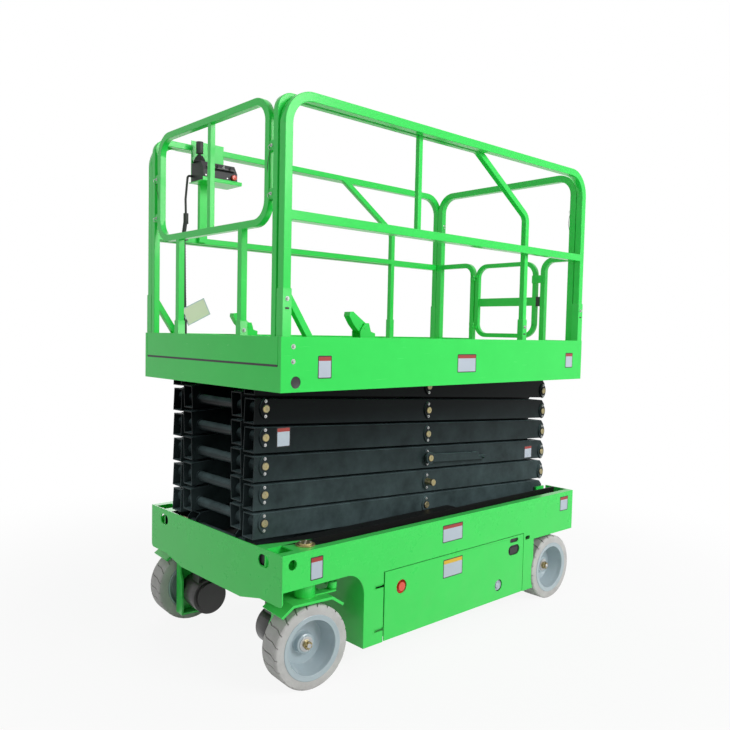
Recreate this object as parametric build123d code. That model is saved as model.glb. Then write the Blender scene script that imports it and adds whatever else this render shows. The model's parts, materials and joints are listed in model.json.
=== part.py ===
"""Self-propelled electric scissor lift, rails up and stack lowered.

Millimetres.  +X is forward (the steered wheels), +Y the left side, +Z up.
The origin is on the floor, midway between the sides and near mid wheelbase.
"""
from build123d import *
from math import atan2, cos, degrees, hypot, radians, sin, sqrt
import os

# ---------------------------------------------------------------- wheels and axles
wheel_diameter = 381.0
wheel_width = 125.0
wheel_inset = 1.0            # from the chassis side in to the tyre's outer face
axle_front_x = 942.0
axle_rear_x = -914.0
parked_steer = -5.3          # degrees about +Z, the front wheels as they were left
rim_diameter = 268.0
hub_diameter = 92.0
tyre_shoulder = 14.0
web_y = -28.0                # the rim's web, from mid width towards the inside
spindle_diameter = 44.0
running_gap = 0.5

# ---------------------------------------------------------------- chassis
chassis_front_x = 1124.0
chassis_rear_x = -1132.0
chassis_half_width = 595.0
wheel_mid_y = chassis_half_width - wheel_inset - wheel_width / 2
chassis_top = 637.0
skin = 6.0
side_plate_bottom = 475.0
rear_plate_bottom = 397.0
tray_bottom = 103.0
arch_rear_x = 643.0
arch_radius = 110.0
rear_arch_radius = 207.0
rear_skirt_x = -726.0
front_plate_corner_z = 408.0
front_plate_middle_z = 373.0
front_plate_middle_half = 275.0
front_plate_corner_half = 430.0
edge_flange = 42.0
spine_half = 215.0
trough_floor_z = 518.0
king_x = axle_front_x
king_y = wheel_mid_y - 11.5
king_tube_diameter = 98.0
king_pin_diameter = 56.0
king_tube_bottom = 412.0

# ---------------------------------------------------------------- swing-out trays
tray_front_x = 507.0
tray_rear_x = -622.0
tray_top = 444.0
tray_gap = 4.0
tray_front_gap = 8.0         # wider, so that the door's edge swings past the plate
tray_box_rear_x = -545.0
tray_box_front_x = 470.0
tray_inner_y = 232.0
tray_hinge_heights = (382.0, 169.0)
tray_hinge_x = 560.0
tray_hinge_y = chassis_half_width - 20.0
tray_hinge_pin = 9.0
tray_hinge_barrel = 18.0
tray_hinge_sheet = 8.0
tray_hinge_slot = 18.0
rear_notch_z = 540.0
rear_notch_half = 400.0
wheel_wall_y = wheel_mid_y - wheel_width / 2 - 26.0   # outer face of the wall with a rear spindle
side_hole = (1068.0, 588.0, 46.0)      # x, z and diameter of the hole behind the front corner
pull_slot = (-664.0, 415.0, 46.0, 22.0)
stop_x = 391.0
stop_z = 350.0

# ---------------------------------------------------------------- scissor stack
levels = 6
pin_front_x = 1066.0
pin_rear_x = -1101.0
pin_base_z = 594.0
pitch = 130.2
tube_height = 114.0
tube_width = 84.0
tube_wall = 5.0
outer_mid_y = 326.0
inner_mid_y = 221.0
hole_offset = 13.7
front_overhang = 54.0
rear_overhang = 24.0
end_cut = 26.0
boss_diameter = 58.0
boss_proud = 4.0
pin_diameter = 35.0
pin_head = 9.0
shaft_diameter = 48.0
lift_tube_diameter = 70.0
barrel_share = 0.10          # share of an arm from its rear pin to the barrel's cross tube
rod_share = 0.20             # share of an arm from its front pin to the rod's cross tube
barrel_levels = (1, 4)
rod_levels = (3, 6)
front_trim = 14.0            # off the top front corner of the sixth outer pair, under the deck
rear_trim = 62.0             # off the lower rear corner of the sixth inner pair

reach = pin_front_x - pin_rear_x
pin_mid_x = (pin_front_x + pin_rear_x) / 2
arm_length = hypot(reach, pitch)
lowered_angle = degrees(atan2(pitch, reach))

# ---------------------------------------------------------------- lift cylinders
barrel_diameter = 112.0
barrel_bore = 92.0
rod_diameter = 56.0
eye_diameter = 96.0
eye_width = 70.0

# ---------------------------------------------------------------- slide blocks
block_length = 90.0
block_height = 66.0
block_width = 56.0
block_inner_y = outer_mid_y + tube_width / 2 + boss_proud + 12.0
trough_half = block_inner_y + block_width + 15.0
track_gap = 2.0
track_wall = 8.0

# ---------------------------------------------------------------- platform
platform_front_x = 1160.0
platform_rear_x = -1148.0
platform_half_width = 610.0
skirt_bottom = 1336.0
skirt_top = 1572.0
deck_z = 1446.0              # underside of the slot between the decks
deck_sheet = 4.0
skirt_sheet = 5.0
skirt_fold = 30.0
slot = 6.0
extension_rear_x = -640.0

# ---------------------------------------------------------------- guard rails
rail = 40.0
rail_top = 2600.0
rail_bend = 130.0
rail_y = platform_half_width - 5.0 - rail / 2
mid_rail_z = 2079.0
rail_front_x = 1130.0
rail_rear_x = platform_rear_x + 5.0 + rail / 2
small_rail = 32.0
rail_gap = 8.0               # between a fixed side rail and the roll-out one inside it
ext_rail_y = rail_y - rail / 2 - rail_gap - small_rail / 2
ext_rail_top = 2590.0
ext_bend_x = -160.0
ext_post_x = -615.0
ext_bend_z = 2275.0
hoop_x = 1138.0
hoop_half = ext_rail_y - 45.0
hoop_bottom = 2042.0
hoop_bend = 95.0
hoop_tie_heights = (2370.0, 2170.0)
hoop_post_y = 281.0
hinge_post_y = -233.0
latch_post_y = 339.0
gate_y0 = -205.0
gate_y1 = 290.0
gate_bottom = 1581.0
gate_top = 2080.0
gate_tube = 28.0
gate_hinge_heights = (2000.0, 1650.0)
gate_hinge_barrel = 14.0
gate_hinge_pin = 7.0
gate_hinge_x = rail_rear_x + 22.0
gate_hinge_y = (hinge_post_y + small_rail / 2 + gate_y0) / 2
gate_latch_z = 1960.0

# ---------------------------------------------------------------- controls and small parts
ext_inner_y = -ext_rail_y + small_rail / 2      # inner face of the right roll-out rail
panel_top = ext_rail_top + 22.0
panel_bottom = ext_rail_top - 205.0
panel_x = (740.0, 943.0)
shelf_x = (712.0, 955.0)
shelf_depth = 148.0
shelf_sheet = 5.0
wide_post_x = (852.0, 900.0)
case_x = (735.0, 945.0)
case_rear_y = 10.0           # from the rail's inner face to the back of the control box
case_depth = 126.0
case_height = 102.0
lever_x = 925.0
lever_top = ext_rail_top + 6.0
cable_y = ext_inner_y + 20.0
cable_diameter = 12.0
connector_top = panel_bottom - 170.0
connector_length = 55.0
hose_diameter = 22.0
pedal_x = 600.0
ladder_depth = 58.0
ladder_half = 220.0
ladder_top = 560.0
ladder_bottom = 215.0
prop_length = 390.0
prop_height = 42.0
prop_sheet = 14.0
prop_gap = 5.0               # between the pin heads of the stack and the prop


def block(x0, x1, y0, y1, z0, z1):
    """A box between two corners."""
    return Pos((x0 + x1) / 2, (y0 + y1) / 2, (z0 + z1) / 2) * Box(x1 - x0, y1 - y0, z1 - z0)


def rod_y(x, z, y0, y1, diameter):
    """A round bar along Y."""
    return Pos(x, (y0 + y1) / 2, z) * Rot(90, 0, 0) * Cylinder(diameter / 2, y1 - y0)


def rod_x(y, z, x0, x1, diameter):
    """A round bar along X."""
    return Pos((x0 + x1) / 2, y, z) * Rot(0, 90, 0) * Cylinder(diameter / 2, x1 - x0)


def rod_z(x, y, z0, z1, diameter):
    """A round bar along Z."""
    return Pos(x, y, (z0 + z1) / 2) * Cylinder(diameter / 2, z1 - z0)


def slab_y(points, y0, y1):
    """A plate across the machine: an outline of (x, z) points between two places in y."""
    face = make_face(Polyline(*[(x, y0, z) for x, z in points], close=True))
    return extrude(face, y1 - y0, dir=(0, 1, 0))


def slab_x(points, x0, x1):
    """A plate along the machine: an outline of (y, z) points between two places in x."""
    face = make_face(Polyline(*[(x0, y, z) for y, z in points], close=True))
    return extrude(face, x1 - x0, dir=(1, 0, 0))


def slot_y(x, z, long, high, y0, y1):
    """A rounded slot through a plate, its length along X."""
    return Pos(x, (y0 + y1) / 2, z) * Rot(90, 0, 0) * extrude(SlotOverall(long, high), (y1 - y0) / 2,
                                                              both=True)


def lengthwise(y):
    """A plane along the machine in which x and z are the two coordinates."""
    return Plane(origin=(0, y, 0), x_dir=(1, 0, 0), z_dir=(0, -1, 0))


def crosswise(x):
    """A plane across the machine in which y and z are the two coordinates."""
    return Plane(origin=(x, 0, 0), x_dir=(0, 1, 0), z_dir=(1, 0, 0))


def bent_bar(plane, points, bend, size):
    """A square tube along a line of runs and bends drawn in a plane."""
    path = FilletPolyline(*points, radius=bend) if bend else Polyline(*points)
    section = Plane(origin=path @ 0, x_dir=(0, 0, 1), z_dir=path % 0) * Rectangle(size, size)
    return plane * sweep(section, path=path)


def ring_bar(plane, x0, x1, y0, y1, bend, size):
    """A square tube bent into a closed rectangle with round corners; the box is its outside."""
    middle = Pos((x0 + x1) / 2, (y0 + y1) / 2)
    outside = RectangleRounded(x1 - x0, y1 - y0, bend + size / 2)
    inside = RectangleRounded(x1 - x0 - 2 * size, y1 - y0 - 2 * size, bend - size / 2)
    return plane * extrude(middle * (outside - inside), size / 2, both=True)


def both_sides(shape):
    """A shape and its mirror image on the other side of the machine."""
    return [shape, shape.mirror(Plane.XZ)]


def join(*shapes):
    """One compound of shapes that may touch: they fuse where they meet."""
    solids = []
    for shape in shapes:
        solids += list(shape) if isinstance(shape, (list, tuple)) else [shape]
    first = solids[0]
    return first.fuse(*solids[1:]) if len(solids) > 1 else first


def save(name, shape):
    """One STEP file a node, as loose solids under one compound."""
    solids = shape.solids() if not isinstance(shape, list) else [s for one in shape for s in one.solids()]
    export_step(Compound(children=list(solids)), f"parts/{name}.step")


# ---------------------------------------------------------------- wheels
def tyre():
    """Solid tyre about the Y axis at the origin: flat tread, rounded shoulders."""
    half = wheel_width / 2
    outer = wheel_diameter / 2
    inner = rim_diameter / 2
    face = make_face(Polyline((inner, -half), (outer, -half), (outer, half), (inner, half), close=True))
    shoulders = [corner for corner in face.vertices() if corner.X > outer - 1]
    return revolve(fillet(shoulders, tyre_shoulder), Axis.Y)


def rim(dish_side):
    """Deep dished rim: lip, barrel, cone, web and hub ring; dish_side +1 opens towards +Y."""
    half = wheel_width / 2
    outer = rim_diameter / 2
    hub = hub_diameter / 2
    bore = spindle_diameter / 2 + running_gap
    section = [(outer, -half), (outer, half), (outer - 9, half), (outer - 11, half - 5), (outer - 11, half - 18),
               (outer - 22, half - 52), (outer - 34, web_y + 5), (hub + 8, web_y + 5), (hub, web_y + 12),
               (hub, web_y + 34), (hub - 6, web_y + 37), (bore, web_y + 37), (bore, web_y - 5),
               (outer - 30, web_y - 5), (outer - 7, web_y + 8), (outer - 7, -half)]
    return revolve(make_face(Polyline(*[(r, dish_side * y) for r, y in section], close=True)), Axis.Y)


# ---------------------------------------------------------------- chassis
def side_plate():
    """The left skin: front arch with a round corner, tray opening, round rear arch, folded top."""
    y0, y1 = chassis_half_width - skin, chassis_half_width
    plate = slab_y([(chassis_front_x, side_plate_bottom), (arch_rear_x, side_plate_bottom),
                    (arch_rear_x, tray_bottom), (rear_skirt_x, tray_bottom),
                    (rear_skirt_x, rear_plate_bottom), (chassis_rear_x, rear_plate_bottom),
                    (chassis_rear_x, chassis_top), (chassis_front_x, chassis_top)], y0, y1)
    corner = rod_y(arch_rear_x + arch_radius, side_plate_bottom - arch_radius, y0 - 1, y1 + 1,
                   2 * arch_radius)
    web = block(arch_rear_x - 1, arch_rear_x + arch_radius, y0, y1, side_plate_bottom - arch_radius,
                side_plate_bottom + 1)
    plate = plate + (web - corner)
    plate -= rod_y(axle_rear_x, wheel_diameter / 2, y0 - 1, y1 + 1, 2 * rear_arch_radius)
    plate -= block(tray_rear_x - tray_gap, tray_front_x + tray_front_gap, y0 - 1, y1 + 1, tray_bottom - 1,
                   tray_top + tray_gap)
    for z in tray_hinge_heights:
        plate -= block(tray_front_x, tray_hinge_x + 14, y0 - 1, y1 + 1, z - tray_hinge_slot / 2,
                       z + tray_hinge_slot / 2)
    hole_x, hole_z, hole_diameter = side_hole
    plate -= rod_y(hole_x, hole_z, y0 - 1, y1 + 1, hole_diameter)
    plate -= slot_y(*pull_slot, y0 - 1, y1 + 1)
    flange = block(chassis_rear_x, chassis_front_x, y1 - edge_flange, y1, chassis_top - skin, chassis_top)
    return plate + flange


def front_plate():
    """Front skin with raised lower corners and two tie-down eyes."""
    m, c, w = front_plate_middle_half, front_plate_corner_half, chassis_half_width
    x0, x1 = chassis_front_x - skin, chassis_front_x
    plate = slab_x([(-w, chassis_top), (-w, front_plate_corner_z), (-c, front_plate_corner_z),
                    (-m, front_plate_middle_z), (m, front_plate_middle_z), (c, front_plate_corner_z),
                    (w, front_plate_corner_z), (w, chassis_top)], x0, x1)
    low = [e for e in plate.edges().filter_by(Axis.X) if e.center().Z < front_plate_corner_z + 1
           and abs(e.center().Y) > w - 1]
    plate = fillet(low, 22)
    for y in (-455.0, 455.0):
        eye = extrude(SlotOverall(80, 56), 2 * skin, both=True)
        plate -= crosswise(x1) * Pos(y, 583) * eye
    return plate


def chassis_frame():
    """Skins, slide tracks, trough floor, spine, bulkheads and king-pin tubes, welded together."""
    inner_x = chassis_front_x - skin
    rear_x = chassis_rear_x + skin
    track_low = pin_base_z - block_height / 2 - track_gap
    track_high = pin_base_z + block_height / 2 + track_gap
    half = []
    half.append(side_plate())
    half.append(block(rear_x, inner_x, trough_half, trough_half + track_wall, trough_floor_z, chassis_top))
    half.append(block(-180, inner_x, block_inner_y - 4, trough_half, track_low - track_wall, track_low))
    half.append(block(-180, inner_x, block_inner_y + 4, trough_half, track_high,
                      min(track_high + track_wall, chassis_top)))
    half.append(block(rear_x, arch_rear_x - skin, spine_half - skin, spine_half, tray_bottom,
                      trough_floor_z))
    half.append(block(arch_rear_x - skin, arch_rear_x, spine_half - skin, chassis_half_width - skin,
                      tray_bottom, trough_floor_z))
    half.append(block(rear_skirt_x + 14, rear_skirt_x + 20, spine_half - skin, chassis_half_width - 1,
                      tray_bottom, 250))
    half.append(block(rear_x, rear_skirt_x + 18, wheel_wall_y - 12, wheel_wall_y, 120, trough_floor_z))
    half.append(block(rear_x, rear_x + 8, spine_half - skin, wheel_wall_y, 120, trough_floor_z))
    for z in tray_hinge_heights:
        for low in (z - 18, z + 10):
            half.append(block(tray_hinge_x - 9, tray_hinge_x + 9, tray_hinge_y - 9, chassis_half_width - skin + 1,
                              low, low + 8))
        half.append(rod_z(tray_hinge_x, tray_hinge_y, z - 18, z + 18, tray_hinge_pin))
    for y0, y1 in ((378.0, 390.0), (262.0, 274.0)):
        lug = block(pin_rear_x - 22, pin_rear_x + 60, y0, y1, trough_floor_z, 632)
        half.append(lug)
    tube = rod_z(king_x, king_y, king_tube_bottom, chassis_top, king_tube_diameter)
    bridge = block(king_x - 90, king_x + 90, trough_half, chassis_half_width - skin,
                   chassis_top - skin, chassis_top)
    half.append(tube)
    half.append(bridge)
    half.append(block(king_x - 5, king_x + 5, trough_half, chassis_half_width - skin, 490, chassis_top))
    left = join(*half)
    left -= rod_z(king_x, king_y, king_tube_bottom - 1, chassis_top + 1, king_pin_diameter + 2 * running_gap)
    left -= rod_y(pin_rear_x, pin_base_z, 200, 400, pin_diameter)
    middle = [front_plate(),
              block(chassis_rear_x, rear_x, -chassis_half_width, chassis_half_width, rear_plate_bottom,
                    chassis_top) - block(chassis_rear_x - 1, rear_x + 1, -rear_notch_half, rear_notch_half,
                                         rear_notch_z, chassis_top + 1),
              block(rear_x, inner_x, -trough_half - track_wall, trough_half + track_wall,
                    trough_floor_z - skin, trough_floor_z),
              block(rear_x, arch_rear_x - skin, -spine_half, spine_half, tray_bottom, tray_bottom + skin)]
    return join(*both_sides(left), *middle)


def chassis_pins():
    """Two fixed pins that carry the rear ends of the lowest outer arms."""
    left = rod_y(pin_rear_x, pin_base_z, 258, 394, pin_diameter)
    return both_sides(left)


def rear_spindles():
    """Flanged rear spindles, bolted on the outside of the wheel walls."""
    z = wheel_diameter / 2
    flange = rod_y(axle_rear_x, z, wheel_wall_y, wheel_wall_y + 12, 130)
    collar = rod_y(axle_rear_x, z, wheel_wall_y + 11, wheel_mid_y - wheel_width / 2 - 6, 86)
    stub = rod_y(axle_rear_x, z, wheel_wall_y + 11, wheel_mid_y + 10, spindle_diameter)
    return both_sides(join(flange, collar, stub))


def king_caps():
    """Brass caps over the king pins."""
    left = rod_z(king_x, king_y, chassis_top, chassis_top + 6, 90) + rod_z(
        king_x, king_y, chassis_top + 5, chassis_top + 14, 66)
    return both_sides(left)


# ---------------------------------------------------------------- steering
def about_king(shape):
    """Turns a piece about the left king pin to where the wheels are parked."""
    return shape.rotate(Axis((king_x, king_y, 0), (0, 0, 1)), parked_steer)


bridge_top = 404.0
bridge_sheet = 12.0
arm_reach = 150.0
tie_rod_z = 432.0
tie_rod_diameter = 26.0
stud_diameter = 18.0
wheel_plate_y = wheel_mid_y - wheel_width / 2 - 24


def knuckle():
    """Left knuckle: king pin, bridge over the wheel, wheel plate with gussets, steering arm."""
    z0 = bridge_top - bridge_sheet
    y0, y1 = wheel_plate_y - 12, chassis_half_width + 2
    flat, wing, drop, half = 105.0, 62.0, 42.0, 100.0
    outline = [(-flat - wing, bridge_top - drop), (-flat, bridge_top), (flat, bridge_top),
               (flat + wing, bridge_top - drop), (flat + wing - 8, bridge_top - drop - 9),
               (flat - 4, z0), (-flat + 4, z0), (-flat - wing + 8, bridge_top - drop - 9)]
    sheet = slab_y([(king_x + x, z) for x, z in outline], y0, y1)
    pin = rod_z(king_x, king_y, z0, chassis_top - 2, king_pin_diameter)
    collar = rod_z(king_x, king_y, bridge_top - 1, king_tube_bottom - 2, 84)
    plate = block(king_x - half, king_x + half, y0, wheel_plate_y, 66, z0 + 2)
    gusset = [(y0 + 2, 66), (y0 - 58, 66), (y0 - 58, 250), (y0 - 34, 290), (y0 - 34, z0 + 2),
              (y0 + 2, z0 + 2)]
    gussets = [slab_x(gusset, king_x + x, king_x + x + 10) for x in (-half, half - 10)]
    floor = block(king_x - half, king_x + half, y0 - 58, y0 + 2, 66, 76)
    arm = block(king_x - arm_reach, king_x, king_y - 22, king_y + 22, bridge_top - 2, bridge_top + 5)
    arm += rod_z(king_x - arm_reach, king_y, bridge_top - 2, bridge_top + 5, 44)
    stud = rod_z(king_x - arm_reach, king_y, bridge_top, tie_rod_z + 18, stud_diameter)
    spindle = rod_y(axle_front_x, wheel_diameter / 2, wheel_plate_y - 1, wheel_mid_y + 10, spindle_diameter)
    return about_king(join(sheet, pin, collar, plate, *gussets, floor, arm, stud, spindle))


def drive_motor():
    """Left drive: gear case between the gussets, then the motor with its terminal box."""
    z = wheel_diameter / 2
    y = wheel_plate_y - 12
    case = rod_y(axle_front_x, z, y - 72, y, 156)
    body = rod_y(axle_front_x, z, y - 190, y - 70, 184)
    cap = rod_y(axle_front_x, z, y - 204, y - 188, 150)
    terminal = block(axle_front_x - 55, axle_front_x + 55, y - 170, y - 95, z + 70, z + 130)
    return about_king(join(case, body, cap, terminal))


def steering_offset():
    """Where parking turns the steering-arm's end, relative to the king pin."""
    a = radians(parked_steer)
    return -arm_reach * cos(a), -arm_reach * sin(a)


def tie_rod():
    """Cross rod with an eye round each steering arm's stud."""
    dx, dy = steering_offset()
    x = king_x + dx
    bar = rod_y(x, tie_rod_z, -king_y + dy + 20, king_y + dy - 20, tie_rod_diameter)
    rod = join(bar, *[rod_z(x, side * king_y + dy, tie_rod_z - 14, tie_rod_z + 14, 46) for side in (-1, 1)])
    for side in (-1, 1):
        rod -= rod_z(x, side * king_y + dy, 0, 900, stud_diameter + 2 * running_gap)
    return rod


# ---------------------------------------------------------------- trays
def tray():
    """Left swing-out tray: door skin, floor, ends and back."""
    y1 = chassis_half_width
    bottom = tray_bottom + 2
    door = block(tray_rear_x, tray_front_x, y1 - skin, y1, bottom, tray_top)
    for x, z, size in ((stop_x, stop_z, 70), (-396, 187, 66)):
        door -= rod_y(x, z, y1 - 20, y1 + 1, size)
    for x, z, long, high in ((-532, 365, 105, 58), (-532, 421, 78, 24)):
        door -= slot_y(x, z, long, high, y1 - skin - 1, y1 + 1)
    floor = block(tray_box_rear_x, tray_box_front_x, tray_inner_y, y1 - 1, bottom, bottom + 5)
    back = block(tray_box_rear_x, tray_box_front_x, tray_inner_y, tray_inner_y + 4, bottom, 200)
    ends = [block(x, x + 4, tray_inner_y, y1 - 1, bottom, 200) for x in
            (tray_box_rear_x, tray_box_front_x - 4)]
    hinges = []
    for z in tray_hinge_heights:
        low, high = z - tray_hinge_sheet / 2, z + tray_hinge_sheet / 2
        hinges.append(rod_z(tray_hinge_x, tray_hinge_y, z - 8, z + 8, tray_hinge_barrel))
        hinges.append(block(tray_front_x - 13, tray_hinge_x, tray_hinge_y - 6, tray_hinge_y + 8, low, high))
        hinges.append(block(tray_front_x - 13, tray_front_x - 3, tray_hinge_y + 7, y1 - skin + 1, low, high))
    body = join(door, floor, back, *ends, *hinges)
    return body - rod_z(tray_hinge_x, tray_hinge_y, 100, 500, tray_hinge_pin + 2 * running_gap)


def tray_load(x0, x1, height):
    """A heavy block standing on a tray's floor."""
    bottom = tray_bottom + 7
    return block(x0, x1, tray_inner_y + 14, chassis_half_width - 60, bottom, bottom + height)


# ---------------------------------------------------------------- scissor arms
platform_pin_z = pin_base_z + levels * pitch
half_run = sqrt((arm_length / 2) ** 2 - hole_offset ** 2)
prop_level = 3
prop_y = outer_mid_y + tube_width / 2 + boss_proud + pin_head + prop_gap
lug_y = outer_mid_y + tube_width / 2 + boss_proud + 20.0
hole_tilt = degrees(atan2(hole_offset, half_run))


def arm_tube(mid_y, low_over, high_over, cuts):
    """One rectangular tube, its low end towards -X, about its middle pin at the origin.

    The cuts are taken off its corners: low end below and above, then high end below and above.
    """
    h = tube_height / 2
    x0, x1 = -half_run - low_over, half_run + high_over
    body = Pos((x0 + x1) / 2, 0, 0) * Box(x1 - x0, tube_width, tube_height)
    hollow = Pos((x0 + x1) / 2, 0, 0) * Box(x1 - x0 + 2, tube_width - 2 * tube_wall,
                                            tube_height - 2 * tube_wall)
    tube = body - hollow
    for (x, z), cut in zip(((x0, -h), (x0, h), (x1, -h), (x1, h)), cuts):
        if cut:
            side = cut * sqrt(2)
            tube -= Pos(x, 0, z) * Rot(0, 45, 0) * Box(side, tube_width + 2, side)
    for x, z in ((-half_run, -hole_offset), (0, 0), (half_run, hole_offset)):
        w = tube_width / 2 + boss_proud
        tube += rod_y(x, z, -w, w, boss_diameter)
        tube -= rod_y(x, z, -w - 1, w + 1, pin_diameter + 2 * running_gap)
    return Pos(0, mid_y, 0) * tube


def set_outer(shape):
    """Leans an arm piece so that its pins lie on the line from the rear pin up to the front."""
    turned = shape.rotate(Axis.Y, -(lowered_angle - hole_tilt))
    return Pos(pin_mid_x, 0, pin_base_z + pitch / 2) * turned


def set_inner(shape):
    """The same arm facing the other way: low end at the front."""
    turned = shape.mirror(Plane.YZ).rotate(Axis.Y, lowered_angle - hole_tilt)
    return Pos(pin_mid_x, 0, pin_base_z + pitch / 2) * turned


def outer_arms(level):
    """Outer pair, low ends at the rear."""
    top = front_trim if level == levels else 0
    left = set_outer(arm_tube(outer_mid_y, rear_overhang, front_overhang, (end_cut, end_cut, 0, top)))
    return both_sides(left)


def inner_arms(level):
    """Inner pair, low ends at the front, with its cross shafts and the cylinders' cross tubes."""
    low_cut = end_cut if level == 1 else 0
    low_over = rear_overhang if level == 1 else front_overhang
    rear_cut = rear_trim if level == levels else end_cut
    sides = both_sides(arm_tube(inner_mid_y, low_over, rear_overhang, (low_cut, low_cut, rear_cut, end_cut)))
    reach_y = inner_mid_y - tube_width / 2 + 1
    shafts = [rod_y(-half_run, -hole_offset, -reach_y, reach_y, shaft_diameter),
              rod_y(half_run, hole_offset, -reach_y, reach_y, shaft_diameter)]
    if level in barrel_levels:
        run = 1 - 2 * barrel_share
        shafts.append(rod_y(half_run * run, hole_offset * run, -reach_y, reach_y, lift_tube_diameter))
    if level in rod_levels:
        run = 1 - 2 * rod_share
        shafts.append(rod_y(-half_run * run, -hole_offset * run, -reach_y, reach_y, lift_tube_diameter))
    return [set_inner(join(*sides, *shafts))]


def level_pins(level):
    """Pins carried by one inner pair: front, middle and rear, on both sides."""
    low_z = pin_base_z + (level - 1) * pitch
    high_z = low_z + pitch
    mid_z = (low_z + high_z) / 2
    inside = inner_mid_y - tube_width / 2 + 4
    outside = outer_mid_y + tube_width / 2 + boss_proud
    front_end = block_inner_y + block_width if level == 1 else outside + pin_head
    rear_end = lug_y + 60.0 if level == levels else outside + pin_head
    left = [rod_y(pin_front_x, low_z, inside, front_end, pin_diameter),
            rod_y(pin_mid_x, mid_z, inside, outside + pin_head, pin_diameter),
            rod_y(pin_rear_x, high_z, inside, rear_end, pin_diameter)]
    right = [pin.mirror(Plane.XZ) for pin in left]
    if level == prop_level:
        left[1] = rod_y(pin_mid_x, mid_z, inside, prop_y + prop_sheet + 4, pin_diameter)
    if level == prop_level - 1:
        left[1] = rod_y(pin_mid_x, mid_z, inside, prop_y + prop_sheet + 24, pin_diameter)
    return left + right


def safety_prop():
    """Maintenance prop folded back along the third left outer arm, with the bracket that holds it."""
    z = pin_base_z + (prop_level - 0.5) * pitch
    fall = pitch / reach
    half = prop_height / 2
    end_x = pin_mid_x - prop_length
    end_z = z - prop_length * fall
    bar = slab_y([(pin_mid_x, z + half), (pin_mid_x, z - half), (end_x, end_z - half), (end_x, end_z + half)],
                 prop_y, prop_y + prop_sheet)
    bar += rod_y(pin_mid_x, z, prop_y, prop_y + prop_sheet, prop_height + 22)
    bar -= rod_y(pin_mid_x, z, prop_y - 1, prop_y + prop_sheet + 1, pin_diameter + 2 * running_gap)
    face = outer_mid_y + tube_width / 2
    bracket = slab_y([(x, end_z - (end_x - x) * fall + up) for x, up in
                      ((end_x + 6, -half), (end_x + 6, half), (end_x - 26, half), (end_x - 26, 0),
                       (end_x - 100, 0), (end_x - 100, -half))], face, prop_y + prop_sheet)
    pin = rod_y(end_x - 62, end_z - 62 * fall - half / 2, prop_y + prop_sheet - 1, prop_y + prop_sheet + 16, 12)
    return [join(bar, bracket, pin)]


# ---------------------------------------------------------------- lift cylinders
def cylinder_points():
    """Eyes of the lower cylinder with the stack down: on the first and third inner pairs."""
    a = (pin_rear_x + barrel_share * reach, pin_base_z + pitch * (1 - barrel_share))
    b = (pin_front_x - rod_share * reach, pin_base_z + pitch * (2 + rod_share))
    return a, b


def along_cylinder(shape):
    """Places a piece built along +X from the base eye at the origin."""
    (ax, az), (bx, bz) = cylinder_points()
    tilt = degrees(atan2(bz - az, bx - ax))
    return Pos(ax, 0, az) * shape.rotate(Axis.Y, -tilt)


def closed_length():
    (ax, az), (bx, bz) = cylinder_points()
    return hypot(bx - ax, bz - az)


barrel_start = 62.0
barrel_end_gap = 120.0
gland_length = 60.0


def lift_barrel():
    """Barrel with its base eye round the lower cross tube."""
    end = closed_length() - barrel_end_gap
    eye = rod_y(0, 0, -eye_width / 2, eye_width / 2, eye_diameter + 10)
    shell = rod_x(0, 0, barrel_start - 25, end, barrel_diameter)
    shell -= rod_x(0, 0, barrel_start + 15, end - gland_length, barrel_bore)
    shell -= rod_x(0, 0, end - gland_length - 1, end + 1, rod_diameter + 2 * running_gap)
    body = join(eye, shell) - rod_y(0, 0, -60, 60, lift_tube_diameter + 2 * running_gap)
    return along_cylinder(body)


def lift_rod():
    """Rod with the eye round the upper cross tube."""
    end = closed_length()
    eye = rod_y(end, 0, -eye_width / 2, eye_width / 2, eye_diameter + 10)
    bar = rod_x(0, 0, barrel_start + 40, end - 40, rod_diameter)
    piston = rod_x(0, 0, barrel_start + 24, barrel_start + 54, barrel_bore - 2 * running_gap)
    body = join(eye, bar, piston) - rod_y(end, 0, -60, 60, lift_tube_diameter + 2 * running_gap)
    return along_cylinder(body)


# ---------------------------------------------------------------- slide blocks
def slide_block(z):
    """A wear block in the left track, without its bore."""
    return block(pin_front_x - block_length / 2, pin_front_x + block_length / 2, block_inner_y,
                 block_inner_y + block_width, z - block_height / 2, z + block_height / 2)


def bottom_blocks():
    """Blocks that turn on the stubs of the lowest inner pair."""
    bore = rod_y(pin_front_x, pin_base_z, 300, 500, pin_diameter + 2 * running_gap)
    return both_sides(slide_block(pin_base_z) - bore)


def top_blocks():
    """Blocks with a fixed stub that turns in the highest outer pair."""
    stub = rod_y(pin_front_x, platform_pin_z, outer_mid_y - tube_width / 2 - 2, block_inner_y + 1,
                 pin_diameter)
    return both_sides(join(slide_block(platform_pin_z), stub))


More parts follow.
